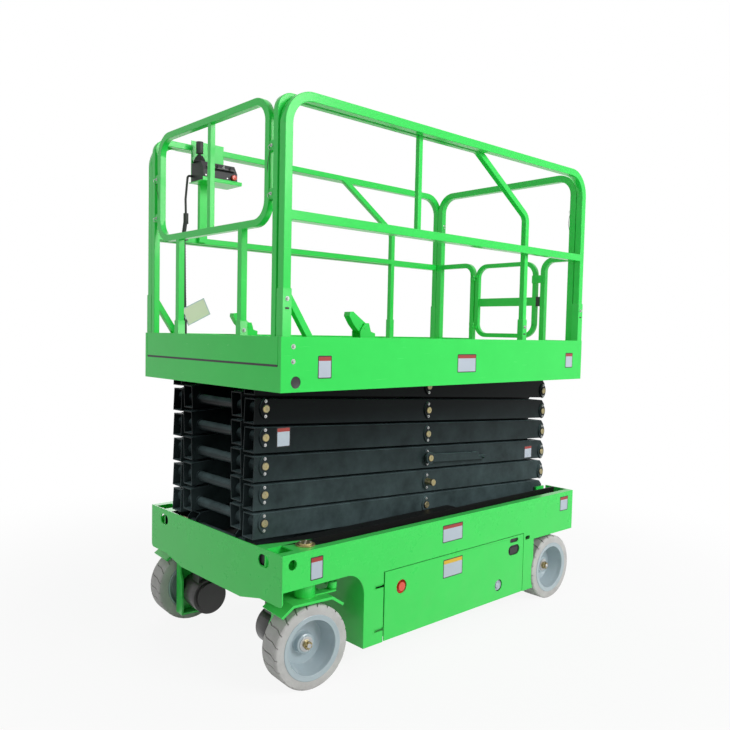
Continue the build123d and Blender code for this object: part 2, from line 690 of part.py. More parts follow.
# ---------------------------------------------------------------- platform
def platform_deck():
    """Main deck: floor, skirts, front and rear panels, cross members, tracks and rear lugs."""
    w = platform_half_width
    x0, x1 = platform_rear_x, platform_front_x
    skirt = block(x0, x1, w - skirt_sheet, w, skirt_bottom, skirt_top)
    skirt -= rod_y(1080, 1378, w - 20, w + 1, 52)
    low_fold = block(x0, x1, w - skirt_fold, w, skirt_bottom, skirt_bottom + skirt_sheet)
    front_strip = block(x1 - skirt_sheet, x1, w - 22, w, skirt_bottom, skirt_top)
    track_low = platform_pin_z - block_height / 2 - track_gap
    track_high = platform_pin_z + block_height / 2 + track_gap
    web = block(-180, x1 - 30, trough_half, trough_half + track_wall, track_low - track_wall, deck_z - 2)
    low = block(-180, x1 - 30, block_inner_y + 2, trough_half + 1, track_low - track_wall, track_low)
    high = block(-180, x1 - 30, block_inner_y + 2, trough_half + 1, track_high, track_high + track_wall)
    brace = [block(x, x + 40, trough_half + 4, w - 3, deck_z - 44, deck_z - 2)
             for x in (-1100.0, -700.0, -300.0, 100.0, 500.0, 900.0)]
    lug = block(pin_rear_x - 22, pin_rear_x + 50, lug_y - 12, lug_y, platform_pin_z - 30, deck_z - 2)
    lug -= rod_y(pin_rear_x, platform_pin_z, 300, 420, pin_diameter + 2 * running_gap)
    left = join(skirt, low_fold, front_strip, web, low, high, *brace, lug)
    floor = block(x0, x1 - 1, -w + 1, w - 1, deck_z - deck_sheet, deck_z)
    front = block(x1 - skirt_sheet, x1, -w, w, skirt_bottom, deck_z)
    rear = block(x0, x0 + skirt_sheet, -w, w, skirt_bottom, deck_z)
    toes = [block(x0, x0 + skirt_sheet, a, b, deck_z - 1, skirt_top)
            for a, b in ((-w, hinge_post_y), (latch_post_y, w))]
    return join(*both_sides(left), floor, front, rear, *toes)


def extension_deck():
    """Roll-out deck: sheet, front panel and low side kerbs, running on the main deck."""
    w = ext_rail_y + small_rail / 2 + 3
    z0 = deck_z + slot
    x0, x1 = extension_rear_x, platform_front_x
    sheet = block(x0, x1 - 1, -w, w, z0, z0 + deck_sheet)
    panel = block(x1 - skirt_sheet, x1, -platform_half_width + 24, platform_half_width - 24, z0, skirt_top)
    kerbs = both_sides(block(x0, x1 - 1, w - 3, w, z0, z0 + 60))
    runners = both_sides(block(x0, x1 - 60, w - 90, w - 60, deck_z, z0 + 1))
    return join(sheet, panel, *kerbs, *runners)


# ---------------------------------------------------------------- rails
def side_rail():
    """Left main rail: top bar bent down into both posts, mid rail and a brace at the front."""
    top = rail_top - rail / 2
    plane = lengthwise(rail_y)
    frame = bent_bar(plane, [(rail_front_x, deck_z), (rail_front_x, top), (rail_rear_x, top),
                             (rail_rear_x, deck_z)], rail_bend, rail)
    mid = block(rail_rear_x, rail_front_x, rail_y - rail / 2, rail_y + rail / 2, mid_rail_z - rail / 2,
                mid_rail_z + rail / 2)
    brace = bent_bar(plane, [(rail_front_x - 10, 1750), (rail_front_x - 200, 1470)], 0, 30)
    return [join(frame, mid, brace)]


def extension_rail():
    """Left rail of the roll-out deck, running just inside the main rail."""
    y = ext_rail_y
    z0 = deck_z + slot + deck_sheet
    top = ext_rail_top - small_rail / 2
    x1 = hoop_x
    half = small_rail / 2
    frame = bent_bar(lengthwise(y), [(x1, z0), (x1, top), (ext_bend_x, top), (ext_post_x, ext_bend_z),
                                     (ext_post_x, z0)], 60, small_rail)
    mid = block(ext_post_x, x1, y - half, y + half, mid_rail_z - half, mid_rail_z + half)
    bar = block(285 - 13, 285 + 13, y - 13, y + 13, mid_rail_z, top)
    return [join(frame, mid, bar)]


def front_rail():
    """Rounded hoop on two posts across the front of the roll-out deck."""
    s = small_rail / 2
    z0 = deck_z + slot + deck_sheet
    hoop = ring_bar(crosswise(hoop_x), -hoop_half, hoop_half, hoop_bottom, ext_rail_top, hoop_bend,
                    small_rail)
    posts = [block(hoop_x - s, hoop_x + s, y - s, y + s, z0, hoop_bottom + s)
             for y in (-hoop_post_y, hoop_post_y)]
    middle = block(hoop_x - 13, hoop_x + 13, -5, 21, hoop_bottom + s, ext_rail_top - s)
    ties = []
    for z in hoop_tie_heights:
        ties += both_sides(block(hoop_x - 13, hoop_x + 13, hoop_half - 2, ext_rail_y - s, z - 22, z + 22))
    return [join(hoop, *posts, middle, *ties)]


def rear_rail():
    """Rear frame: tall top bar on two posts and two short hoops beside the gate."""
    top = rail_top - rail / 2
    plane = crosswise(rail_rear_x)
    h = rail_y - rail - 4
    frame = bent_bar(plane, [(-h, deck_z), (-h, top), (h, top), (h, deck_z)], 110, rail)
    hoops = [bent_bar(plane, [(side * h, mid_rail_z), (y, mid_rail_z), (y, deck_z)], 70, small_rail)
             for side, y in ((-1, hinge_post_y), (1, latch_post_y))]
    ears = []
    for z in gate_hinge_heights:
        ears.append(rod_z(gate_hinge_x, gate_hinge_y, z - 30, z + 30, gate_hinge_pin))
        for low in (z - 30, z + 10):
            ears.append(rod_z(gate_hinge_x, gate_hinge_y, low, low + 20, gate_hinge_barrel))
            ears.append(block(rail_rear_x + small_rail / 2 - 1, gate_hinge_x, hinge_post_y - 12,
                              gate_hinge_y, low, low + 20))
    return [join(frame, *hoops, *ears)]


def gate():
    """Swing gate: rounded hoop with a flat middle bar, hinge leaves and a latch tab."""
    hoop = ring_bar(crosswise(rail_rear_x), gate_y0, gate_y1, gate_bottom, gate_top, 80, gate_tube)
    bar = block(rail_rear_x - 8, rail_rear_x + 8, gate_y0 + 14, gate_y1 - 14, 1791, 1846)
    inner_x = rail_rear_x + gate_tube / 2
    leaves = []
    for z in gate_hinge_heights:
        leaves.append(rod_z(gate_hinge_x, gate_hinge_y, z - 9, z + 9, gate_hinge_barrel))
        leaves.append(block(inner_x - 1, gate_hinge_x, gate_hinge_y, gate_y0 + 24, z - 9, z + 9))
    lug = block(inner_x - 1, gate_hinge_x, gate_y1 - 28, gate_y1, gate_latch_z - 25, gate_latch_z + 25)
    tab = block(rail_rear_x + small_rail / 2 + 1, gate_hinge_x, gate_y1 - 1, latch_post_y + 12,
                gate_latch_z - 25, gate_latch_z + 25)
    body = join(hoop, bar, lug, tab, *leaves)
    return [body - rod_z(gate_hinge_x, gate_hinge_y, gate_bottom, gate_top, gate_hinge_pin + 2 * running_gap)]


def control_bracket():
    """Backing plate on the right roll-out rail, tray and wide post."""
    y = ext_inner_y
    plate = block(*panel_x, y, y + 4, panel_bottom, panel_top)
    shelf = block(*shelf_x, y, y + shelf_depth, panel_bottom - shelf_sheet, panel_bottom)
    lip = block(*shelf_x, y + shelf_depth - 4, y + shelf_depth, panel_bottom - 1, panel_bottom + 15)
    post = block(*wide_post_x, y, y + 24, mid_rail_z - 10, panel_bottom - shelf_sheet + 1)
    return [join(plate, shelf, lip, post)]


def control_box():
    """Black control box with its lever and stop button, standing in the tray."""
    y = ext_inner_y + case_rear_y
    low, high = panel_bottom, panel_bottom + case_height
    front = y + case_depth
    case = slab_x([(y, low), (front, low), (front, high - 46), (front - 30, high), (y, high)], *case_x)
    lever = rod_z(lever_x, y + 50, high - 1, lever_top - 30, 16) + rod_z(lever_x, y + 50, lever_top - 62,
                                                                     lever_top, 38)
    knob = rod_z(lever_x - 75, y + 50, high - 1, high + 14, 30)
    stop = rod_x(y + 70, panel_bottom + 40, case_x[0] - 12, case_x[0] + 1, 24)
    return [join(case, lever, knob, stop)]


def entry_ladder():
    """Entry steps bolted on the rear plate."""
    x0, x1 = chassis_rear_x - ladder_depth, chassis_rear_x
    sides = (-ladder_half, ladder_half - 40)
    rails = [block(x0, x0 + 8, y, y + 40, ladder_bottom, ladder_top) for y in sides]
    ties = [block(x0, x1, y, y + 40, z, z + 8) for y in sides for z in (ladder_top - 100, ladder_top - 8)]
    treads = [block(x0 - 4, x0 + 32, -ladder_half + 1, ladder_half - 1, z, z + 24)
              for z in (ladder_bottom + 15, ladder_top - 80)]
    return [join(*rails, *ties, *treads)]


def stop_button():
    """Stop button in a cup behind the round hole of the left tray's door."""
    y = chassis_half_width - skin
    cup = rod_y(stop_x, stop_z, y - 22, y, 84) - rod_y(stop_x, stop_z, y - 18, y + 1, 72)
    button = rod_y(stop_x, stop_z, y - 19, y + 2, 30) + rod_y(stop_x, stop_z, y - 2, y + 9, 44)
    return [join(cup, button)]


def round_run(points, bend, diameter):
    """A round cord along a line of runs and bends in the plane of the control cable."""
    path = FilletPolyline(*[(x, cable_y, z) for x, z in points], radius=bend)
    return sweep(Plane(origin=path @ 0, z_dir=path % 0) * Circle(diameter / 2), path=path)


def control_cable():
    """Control cable: out of the box, over a connector, then a wrapped hose down to the deck, in clips."""
    start = panel_bottom + 32
    foot = deck_z + slot + deck_sheet
    connector_low = connector_top - connector_length
    thin = round_run([(case_x[1], start), (case_x[1] + 28, start), (case_x[1] + 40, connector_top + 75),
                      (case_x[1] + 37, connector_top - 20)], 14, cable_diameter)
    thick = round_run([(case_x[1] + 37, connector_low + 30), (case_x[1] + 51, connector_low - 70),
                       (case_x[1] + 45, 1800), (case_x[1] + 38, 1600), (case_x[1] + 38, foot)], 60, hose_diameter)
    connector = rod_z(case_x[1] + 37, cable_y, connector_low, connector_top, 27)
    clip = block(case_x[1] + 30, case_x[1] + 68, ext_inner_y, cable_y + 13, mid_rail_z - 9, mid_rail_z + 9)
    return [join(thin, connector, thick, clip)]


def lock_pedals():
    """Two foot pedals on the roll-out deck's kerbs that let it roll: bracket, tilted paddle and pin."""
    y1 = ext_rail_y - small_rail / 2 - 4
    y0 = y1 - 60
    foot = deck_z + slot + deck_sheet
    x = pedal_x
    bracket = slab_y([(x - 62, foot), (x + 30, foot), (x + 34, 1600), (x + 6, 1640), (x - 20, 1640),
                      (x - 34, 1600), (x - 62, 1592)], y0, y0 + 6)
    other = Pos(0, 54, 0) * bracket
    base = block(x - 62, x + 30, y0, y1, foot, foot + 6)
    paddle = slab_y([(x - 40, 1598), (x - 34, 1624), (x + 30, 1664), (x + 72, 1692), (x + 92, 1690),
                     (x + 96, 1672), (x + 70, 1634), (x + 40, 1604), (x + 8, 1592)], y0 + 10, y1 - 10)
    pin = rod_y(x + 4, 1618, y0 - 6, y1 + 2, 14)
    left = join(bracket, other, base, paddle, pin)
    return both_sides(left)


def build():
    os.makedirs("parts", exist_ok=True)
    save("chassis_frame", chassis_frame())
    save("chassis_pins", chassis_pins() + king_caps())
    save("rear_spindles", rear_spindles())

    left_knuckle = knuckle()
    left_motor = drive_motor()
    shift = Pos(0, -2 * king_y, 0)
    save("knuckle_left", left_knuckle)
    save("drive_motor_left", left_motor)
    # the right knuckle mirrors the left one, then turns the same way as it
    straight = left_knuckle.rotate(Axis((king_x, king_y, 0), (0, 0, 1)), -parked_steer)
    right = straight.mirror(Plane.XZ).rotate(Axis((king_x, -king_y, 0), (0, 0, 1)), parked_steer)
    save("knuckle_right", right)
    straight = left_motor.rotate(Axis((king_x, king_y, 0), (0, 0, 1)), -parked_steer)
    right = straight.mirror(Plane.XZ).rotate(Axis((king_x, -king_y, 0), (0, 0, 1)), parked_steer)
    save("drive_motor_right", right)
    save("tie_rod", tie_rod())

    for name, x, side, steered in (("front_left", axle_front_x, 1, True), ("front_right", axle_front_x, -1, True),
                                   ("rear_left", axle_rear_x, 1, False), ("rear_right", axle_rear_x, -1, False)):
        place = Pos(x, side * wheel_mid_y, wheel_diameter / 2)
        for kind, shape in (("tyre", tyre()), ("rim", rim(side))):
            piece = place * shape
            if steered:
                piece = piece.rotate(Axis((king_x, side * king_y, 0), (0, 0, 1)), parked_steer)
            save(f"{kind}_{name}", piece)

    left_tray = tray()
    save("tray_left", left_tray)
    save("tray_right", left_tray.mirror(Plane.XZ))
    save("battery_block", tray_load(-500, 400, 270))
    save("power_unit", tray_load(-300, 350, 240).mirror(Plane.XZ))

    for level in range(1, levels + 1):
        up = Pos(0, 0, (level - 1) * pitch)
        save(f"outer_arms_{level}", [up * s for s in outer_arms(level)])
        save(f"inner_arms_{level}", [up * s for s in inner_arms(level)])
        save(f"pins_{level}", level_pins(level))
    save("safety_prop", safety_prop())

    for name, up in (("lower", 0), ("upper", 3)):
        lift = Pos(0, 0, up * pitch)
        save(f"lift_barrel_{name}", lift * lift_barrel())
        save(f"lift_rod_{name}", lift * lift_rod())
    save("slide_blocks_bottom", bottom_blocks())
    save("slide_blocks_top", top_blocks())

    save("platform_deck", platform_deck())
    save("extension_deck", extension_deck())
    save("side_rail_left", side_rail())
    save("side_rail_right", [s.mirror(Plane.XZ) for s in side_rail()])
    save("extension_rail_left", extension_rail())
    save("extension_rail_right", [s.mirror(Plane.XZ) for s in extension_rail()])
    save("front_rail", front_rail())
    save("rear_rail", rear_rail())
    save("gate", gate())
    save("control_box", control_box())
    save("control_bracket", control_bracket())
    save("control_cable", control_cable())
    save("lock_pedals", lock_pedals())
    save("entry_ladder", entry_ladder())
    save("stop_button", stop_button())


build()
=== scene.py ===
# %% [markdown]
# A scissor lift from its solids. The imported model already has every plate, arm, pin and wheel at its real
# size, each riding on a body that its joints can move. This lesson gives those solids their finishes and adds
# what is too small for a workshop model: tread, bolt heads, edge radii, blank plates, wires and switches.
# A position is always read from the frame (a node's box or a joint's pivot), so a piece fits by itself.

# %% Load the frame
import json
import math

import bmesh
import bpy
from mathutils import Matrix, Vector


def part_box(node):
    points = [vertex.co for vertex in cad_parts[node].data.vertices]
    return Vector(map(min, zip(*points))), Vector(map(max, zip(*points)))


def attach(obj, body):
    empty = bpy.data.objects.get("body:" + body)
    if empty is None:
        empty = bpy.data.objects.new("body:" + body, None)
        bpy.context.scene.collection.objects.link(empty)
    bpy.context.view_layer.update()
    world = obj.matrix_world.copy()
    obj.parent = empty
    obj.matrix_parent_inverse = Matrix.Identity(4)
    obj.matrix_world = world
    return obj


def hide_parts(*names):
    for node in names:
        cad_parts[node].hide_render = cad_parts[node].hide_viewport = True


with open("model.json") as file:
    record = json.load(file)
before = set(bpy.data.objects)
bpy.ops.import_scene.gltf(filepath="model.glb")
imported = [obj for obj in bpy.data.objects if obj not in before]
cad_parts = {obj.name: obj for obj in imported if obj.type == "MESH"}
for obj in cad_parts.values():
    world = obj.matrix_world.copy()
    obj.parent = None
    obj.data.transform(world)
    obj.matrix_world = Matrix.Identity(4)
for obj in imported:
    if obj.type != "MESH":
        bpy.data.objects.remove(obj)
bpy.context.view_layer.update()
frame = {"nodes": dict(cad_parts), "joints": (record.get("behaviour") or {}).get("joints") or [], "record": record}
nodes = frame["nodes"]
slot_of = {part["node"]: part["material_slot"] for part in frame["record"]["subparts"]}
pivot = {joint["name"]: Vector(joint["pos_m"]) for joint in frame["joints"] if "pos_m" in joint}

# %% [markdown]
# Size and places of the folding stack. Each level has an outer and an inner pair of arms that cross at a
# middle pin. The record lists those pivots as joints, so the pins' heads, rings and bolts can be laid out
# from them: the middle pins come from the crossing joints, the rear ones from the joints between levels, and
# a front pin is as far ahead of the middle as the rear one is behind it.

# %% Lay out the pins of the stack
LEVELS = 6
rise = pivot["rear_1"].z - pivot["lift"].z
pin_rear_x = pivot["lift"].x
pin_mid_x = pivot["cross_1"].x
pin_front_x = 2 * pin_mid_x - pin_rear_x
BOSS_PROUD = 0.004
arm_face_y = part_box("outer_arms_1")[1].y - BOSS_PROUD
print("pins at x", [round(v, 3) for v in (pin_rear_x, pin_mid_x, pin_front_x)], "rise", round(rise, 4))


# %% [markdown]
# A shader node group is a small recipe that several materials share, as a function is in code. Here a
# helper makes an empty group with named sockets; each effect below is then a few nodes inside one group, and
# a material places it with numbers of its own. A group only gives out masks and values. The shader itself
# stays in the material, where it is easy to find.

# %% Helpers for shader groups
def new_group(name, inputs, outputs):
    group = bpy.data.node_groups.new(name, "ShaderNodeTree")
    for label, default in inputs:
        socket = group.interface.new_socket(label, in_out="INPUT", socket_type="NodeSocketFloat")
        socket.default_value = default
    for label in outputs:
        group.interface.new_socket(label, in_out="OUTPUT", socket_type="NodeSocketFloat")
    return group, group.nodes.new("NodeGroupInput"), group.nodes.new("NodeGroupOutput")


def add_node(tree, kind, links=(), **values):
    """A node with plain settings; links are (input name or number, the socket that feeds it)."""
    node = tree.nodes.new(kind)
    for key, value in values.items():
        if hasattr(node, key):
            setattr(node, key, value)
        else:
            node.inputs[key.replace("_", " ").title()].default_value = value
    for target, source in links:
        tree.links.new(source, node.inputs[target])
    return node


def math_node(tree, operation, first, second=None, clamp=False):
    node = tree.nodes.new("ShaderNodeMath")
    node.operation = operation
    node.use_clamp = clamp
    for place, value in enumerate((first, second)):
        if hasattr(value, "links"):
            tree.links.new(value, node.inputs[place])
        elif value is not None:
            node.inputs[place].default_value = value
    return node.outputs[0]


def object_place(tree):
    """Coordinates that stay with the piece when its body moves."""
    return tree.nodes.new("ShaderNodeTexCoord").outputs["Object"]


# %% [markdown]
# Sprayed paint is never a mirror: it dries with a fine ripple called orange peel, over slow waves in the
# sheet metal below. Two noises of very different scale, added up, give that height, and a Bump node in each
# paint turns it into tiny changes of the normal.

# %% Group: orange peel
def make_orange_peel():
    group, given, out = new_group("Orange peel", [("Grain", 260.0), ("Waviness", 0.35)], ["Height"])
    place = object_place(group)
    fine = add_node(group, "ShaderNodeTexNoise", [("Vector", place), ("Scale", given.outputs["Grain"])],
                    detail=2.0)
    slow = add_node(group, "ShaderNodeTexNoise", [("Vector", place)], scale=6.0, detail=1.0)
    waves = math_node(group, "MULTIPLY", slow.outputs[0], given.outputs["Waviness"])
    group.links.new(math_node(group, "ADD", fine.outputs[0], waves), out.inputs["Height"])
    return group


orange_peel = make_orange_peel()

# %% [markdown]
# Dust settles on faces that look up and clings near the floor. The normal's Z says how far a face looks up,
# the height above the floor gives the second part, and a noise breaks both into patches. On the charcoal arms
# the same mask is painted light instead: a painted sheen on faces that look up, and lower arms painted
# lighter than the upper ones, which stay dark as painted shade under the deck.

# %% Group: settled dust and painted light
def make_dust_and_painted_light():
    group, given, out = new_group("Settled dust", [("Amount", 0.3), ("Splash height", 0.5)], ["Mask"])
    place = object_place(group)
    geometry = group.nodes.new("ShaderNodeNewGeometry")
    normal = add_node(group, "ShaderNodeSeparateXYZ", [(0, geometry.outputs["Normal"])])
    facing_up = math_node(group, "MULTIPLY", math_node(group, "MAXIMUM", normal.outputs["Z"], 0.0), 0.6)
    point = add_node(group, "ShaderNodeSeparateXYZ", [(0, place)])
    height_share = math_node(group, "DIVIDE", point.outputs["Z"], given.outputs["Splash height"])
    down = math_node(group, "SUBTRACT", 1.0, height_share, clamp=True)
    patches = add_node(group, "ShaderNodeTexNoise", [("Vector", place)], scale=9.0, detail=6.0,
                       roughness=0.65)
    total = math_node(group, "ADD", facing_up, math_node(group, "MULTIPLY", down, 0.7))
    broken = math_node(group, "MULTIPLY", total, patches.outputs[0])
    group.links.new(math_node(group, "MULTIPLY", broken, given.outputs["Amount"], clamp=True),
                    out.inputs["Mask"])
    return group


dust_and_painted_light = make_dust_and_painted_light()

# %% [markdown]
# Handling leaves short hairline marks. Stretching a noise along one axis turns its blobs into streaks, and
# a steep threshold keeps only the thinnest of them.

# %% Group: hairlines
def make_hairlines():
    group, given, out = new_group("Hairlines", [("Scale", 22.0), ("Amount", 0.5)], ["Mask"])
    stretch = add_node(group, "ShaderNodeMapping", [("Vector", object_place(group))])
    stretch.inputs["Scale"].default_value = (0.25, 1.0, 5.0)
    stretch.inputs["Rotation"].default_value = (0.2, 0.35, 0.1)
    streaks = add_node(group, "ShaderNodeTexNoise",
                       [("Vector", stretch.outputs[0]), ("Scale", given.outputs["Scale"])], detail=8.0,
                       roughness=0.7)
    thin = math_node(group, "SUBTRACT", streaks.outputs[0], 0.62, clamp=True)
    strong = math_node(group, "MULTIPLY", thin, 5.0, clamp=True)
    group.links.new(math_node(group, "MULTIPLY", strong, given.outputs["Amount"], clamp=True),
                    out.inputs["Mask"])
    return group


hairlines = make_hairlines()

# %% [markdown]
# No colour is quite even: a batch of rubber or a coat of paint has faint clouds in it. This group gives a
# value around one half that drifts slowly over the surface, to mix two close shades.

# %% Group: clouds
def make_clouds():
    group, given, out = new_group("Clouds", [("Scale", 5.0), ("Contrast", 0.5)], ["Value"])
    noise = add_node(group, "ShaderNodeTexNoise",
                     [("Vector", object_place(group)), ("Scale", given.outputs["Scale"])], detail=5.0,
                     roughness=0.6)
    centred = math_node(group, "SUBTRACT", noise.outputs[0], 0.5)
    strength = math_node(group, "MULTIPLY", given.outputs["Contrast"], 4.0)
    spread = math_node(group, "MULTIPLY", centred, strength)
    group.links.new(math_node(group, "ADD", spread, 0.5, clamp=True), out.inputs["Value"])
    return group


clouds = make_clouds()
print("groups:", [g.name for g in bpy.data.node_groups])


# %% [markdown]
# One function lays out a finish: two close shades mixed by clouds, dust over them (painted light on the
# charcoal), hairlines that roughen, and a bump. What is the same all over, such as metalness, coat or sheen,
# is typed straight into the shader's own sockets. The finishes then differ only by their numbers.

# %% Build a finish
def place_group(tree, group, **values):
    node = tree.nodes.new("ShaderNodeGroup")
    node.node_tree = group
    for key, value in values.items():
        node.inputs[key.replace("_", " ")].default_value = value
    return node.outputs[0]


def mix_colour(tree, factor, first, second):
    node = tree.nodes.new("ShaderNodeMix")
    node.data_type = "RGBA"
    if hasattr(factor, "links"):
        tree.links.new(factor, node.inputs["Factor"])
    else:
        node.inputs["Factor"].default_value = factor
    for label, value in ((6, first), (7, second)):
        if hasattr(value, "links"):
            tree.links.new(value, node.inputs[label])
        else:
            node.inputs[label].default_value = (*value, 1.0)
    return node.outputs[2]


DUST_COLOUR = (0.50, 0.47, 0.41)


def finish(name, light, dark, rough, grain=260.0, bump=0.04, depth=0.001, dust_and_light=0.25, splash_and_light_height=0.5,
           dust_and_light_colour=DUST_COLOUR, marks=0.3, cloud_scale=5.0, cloud=0.4, **shader_values):
    material = bpy.data.materials.new(name)
    material.use_nodes = True
    tree = material.node_tree
    shader = tree.nodes["Principled BSDF"]
    tone = place_group(tree, clouds, Scale=cloud_scale, Contrast=cloud)
    colour = mix_colour(tree, tone, dark, light)
    # The dust mask is real dust on most finishes and painted light on the charcoal arms.
    dust_and_light_mask = place_group(tree, dust_and_painted_light, Amount=dust_and_light, Splash_height=splash_and_light_height)
    colour = mix_colour(tree, dust_and_light_mask, colour, dust_and_light_colour)
    tree.links.new(colour, shader.inputs["Base Color"])
    marks_mask = place_group(tree, hairlines, Amount=marks)
    roughness = math_node(tree, "ADD", math_node(tree, "MULTIPLY", marks_mask, 0.25), rough)
    dusty = math_node(tree, "ADD", roughness, math_node(tree, "MULTIPLY", dust_and_light_mask, 0.5), clamp=True)
    tree.links.new(dusty, shader.inputs["Roughness"])
    height = place_group(tree, orange_peel, Grain=grain)
    relief = add_node(tree, "ShaderNodeBump", [("Height", height)], strength=bump, distance=depth)
    tree.links.new(relief.outputs[0], shader.inputs["Normal"])
    for label, value in shader_values.items():
        shader.inputs[label.replace("_", " ")].default_value = value
    material.diffuse_color = (*light, 1.0)
    return material


# %% [markdown]
# The machine's main finishes: bright green gloss enamel on chassis, deck and rails, satin charcoal on the
# folding arms, pale grey on the wheels' dishes, yellow-passivated pins, bright zinc on screws, hard chrome on
# the cylinders' rods, and the usual rubber and plastics.

# %% Mix the finishes
green = finish("green_enamel", (0.030, 0.78, 0.100), (0.026, 0.73, 0.090), 0.26, bump=0.06, dust_and_light=0.18,
               splash_and_light_height=1.1, Specular_IOR_Level=0.35, Coat_Weight=0.12, Coat_Roughness=0.08)
# On the charcoal, the dust mask and its blue-grey colour are painted light: a painted sheen on the tubes' tops and
# lower arms painted lighter, so the upper arms stay dark as painted shade under the deck.
charcoal = finish("charcoal_enamel", (0.0050, 0.0075, 0.0080), (0.0035, 0.0050, 0.0055), 0.30, bump=0.06,
                  dust_and_light=1.7, splash_and_light_height=1.20, dust_and_light_colour=(0.16, 0.24, 0.25), cloud_scale=2.5,
                  Specular_IOR_Level=0.06, Coat_Weight=0.02, Coat_Roughness=0.1)
dish_grey = finish("pale_dish_enamel", (0.44, 0.535, 0.575), (0.38, 0.47, 0.51), 0.18, bump=0.05, dust_and_light=0.10,
                   Coat_Weight=0.5, Coat_Roughness=0.08)
passivated = finish("yellow_zinc", (0.42, 0.35, 0.17), (0.32, 0.29, 0.18), 0.38, grain=500.0, dust_and_light=0.05,
                    cloud_scale=40.0, cloud=0.9, Metallic=0.85)
bright_zinc = finish("bright_zinc", (0.58, 0.58, 0.57), (0.46, 0.47, 0.48), 0.32, grain=500.0, dust_and_light=0.03,
                     cloud_scale=60.0, cloud=0.8, Metallic=0.9)
brass = finish("dull_brass", (0.42, 0.34, 0.15), (0.30, 0.25, 0.12), 0.38, grain=400.0, dust_and_light=0.15,
               cloud_scale=30.0, cloud=0.9, Metallic=0.8)
hard_chrome = finish("hard_chrome", (0.86, 0.87, 0.88), (0.82, 0.83, 0.84), 0.09, bump=0.01, dust_and_light=0.02,
                     marks=0.1, Metallic=1.0)
black_enamel = finish("black_enamel", (0.012, 0.012, 0.013), (0.009, 0.009, 0.010), 0.36, dust_and_light=0.12,
                      Coat_Weight=0.1)
black_plastic = finish("black_moulding", (0.020, 0.020, 0.022), (0.014, 0.014, 0.016), 0.50, grain=900.0,
                       bump=0.18, dust_and_light=0.05)
red_plastic = finish("red_moulding", (0.86, 0.075, 0.035), (0.76, 0.060, 0.028), 0.22, bump=0.02, dust_and_light=0.02,
                     Coat_Weight=0.5)
# Near-black for the chassis's wells: painted shade that stands for the shadow inside them.
painted_shade_black = finish("painted_shade_black", (0.006, 0.006, 0.006), (0.004, 0.004, 0.004), 0.50, dust_and_light=0.0,
                      Specular_IOR_Level=0.2)
cable_rubber = finish("cable_sheath", (0.022, 0.022, 0.023), (0.016, 0.016, 0.017), 0.55, grain=700.0,
                      bump=0.10, dust_and_light=0.05)
print(len(bpy.data.materials), "materials so far")

# %% [markdown]
# Solid non-marking tyres are cast from pale grey rubber. It looks matt, a little chalky, darker where the
# tread has rolled through dirt, with a grain far coarser than paint. Roughness stays high and sheen is left
# out, since rubber has no fibres.

# %% Mix the tyre rubber
grey_rubber = finish("grey_rubber", (0.58, 0.575, 0.565), (0.49, 0.485, 0.475), 0.78, grain=160.0, bump=0.35,
                     depth=0.002, dust_and_light=0.35, splash_and_light_height=0.12, marks=0.0, cloud_scale=14.0, cloud=0.8)

# %% [markdown]
# Blank plates stand where the real machine carries its notices. Each is a thin vinyl sheet: a white field
# with a red or yellow band on top and nothing written on it.

# %% Mix the plates' vinyl
white_vinyl = finish("white_vinyl", (0.52, 0.58, 0.66), (0.46, 0.52, 0.60), 0.42, bump=0.02, dust_and_light=0.05)
red_vinyl = finish("red_vinyl", (0.42, 0.045, 0.035), (0.34, 0.036, 0.030), 0.40, bump=0.02, dust_and_light=0.05)
yellow_vinyl = finish("yellow_vinyl", (0.80, 0.50, 0.03), (0.72, 0.44, 0.03), 0.40, bump=0.02, dust_and_light=0.05)
ivory_card = finish("ivory_card", (0.80, 0.76, 0.64), (0.74, 0.70, 0.58), 0.55, bump=0.03, dust_and_light=0.03)

# %% [markdown]
# Now the solids get their finishes by the slot that the record gives them. They also get two modifiers: a
# weld joins the vertices that the file format splits at sharp edges, and a bevel rounds every sharp edge by a
# millimetre or two. Real folded sheet and tube have such radii, and they catch the light as thin bright
# lines; without them a model looks cut from paper. The mesh itself stays as it is. The faces inside the
# chassis's wells, where the slide blocks run, get a second material: a near-black paint that is painted
# shade, standing for the shadow deep in the wells.

# %% Dress the solids
FINISH_OF_SLOT = {
    "chassis_paint": green, "deck_paint": green, "rail_paint": green, "step_paint": green,
    "arm_paint": charcoal, "rim_paint": dish_grey, "zinc": passivated, "chrome": hard_chrome,
    "black_paint": black_enamel, "black_plastic": black_plastic, "red_plastic": red_plastic,
    "cable_rubber": cable_rubber, "tyre": grey_rubber,
}
TUBE_RADIUS, SHEET_RADIUS = 0.0035, 0.0012


def soften(piece, radius, angle=40.0):
    weld = piece.modifiers.new("weld", "WELD")
    weld.merge_threshold = 0.00002
    bevel = piece.modifiers.new("edge_radius", "BEVEL")
    bevel.width = radius
    bevel.segments = 2
    bevel.limit_method = "ANGLE"
    bevel.angle_limit = math.radians(angle)
    bevel.use_clamp_overlap = True
    bevel.harden_normals = True


def dress(piece, material):
    piece.data.materials.clear()
    piece.data.materials.append(material)


for name, node in nodes.items():
    dress(node, FINISH_OF_SLOT[slot_of[name]])
    is_tube = "rail" in name or name == "gate" or "arms" in name
    soften(node, TUBE_RADIUS if is_tube else SHEET_RADIUS)
dress(nodes["chassis_pins"], brass)

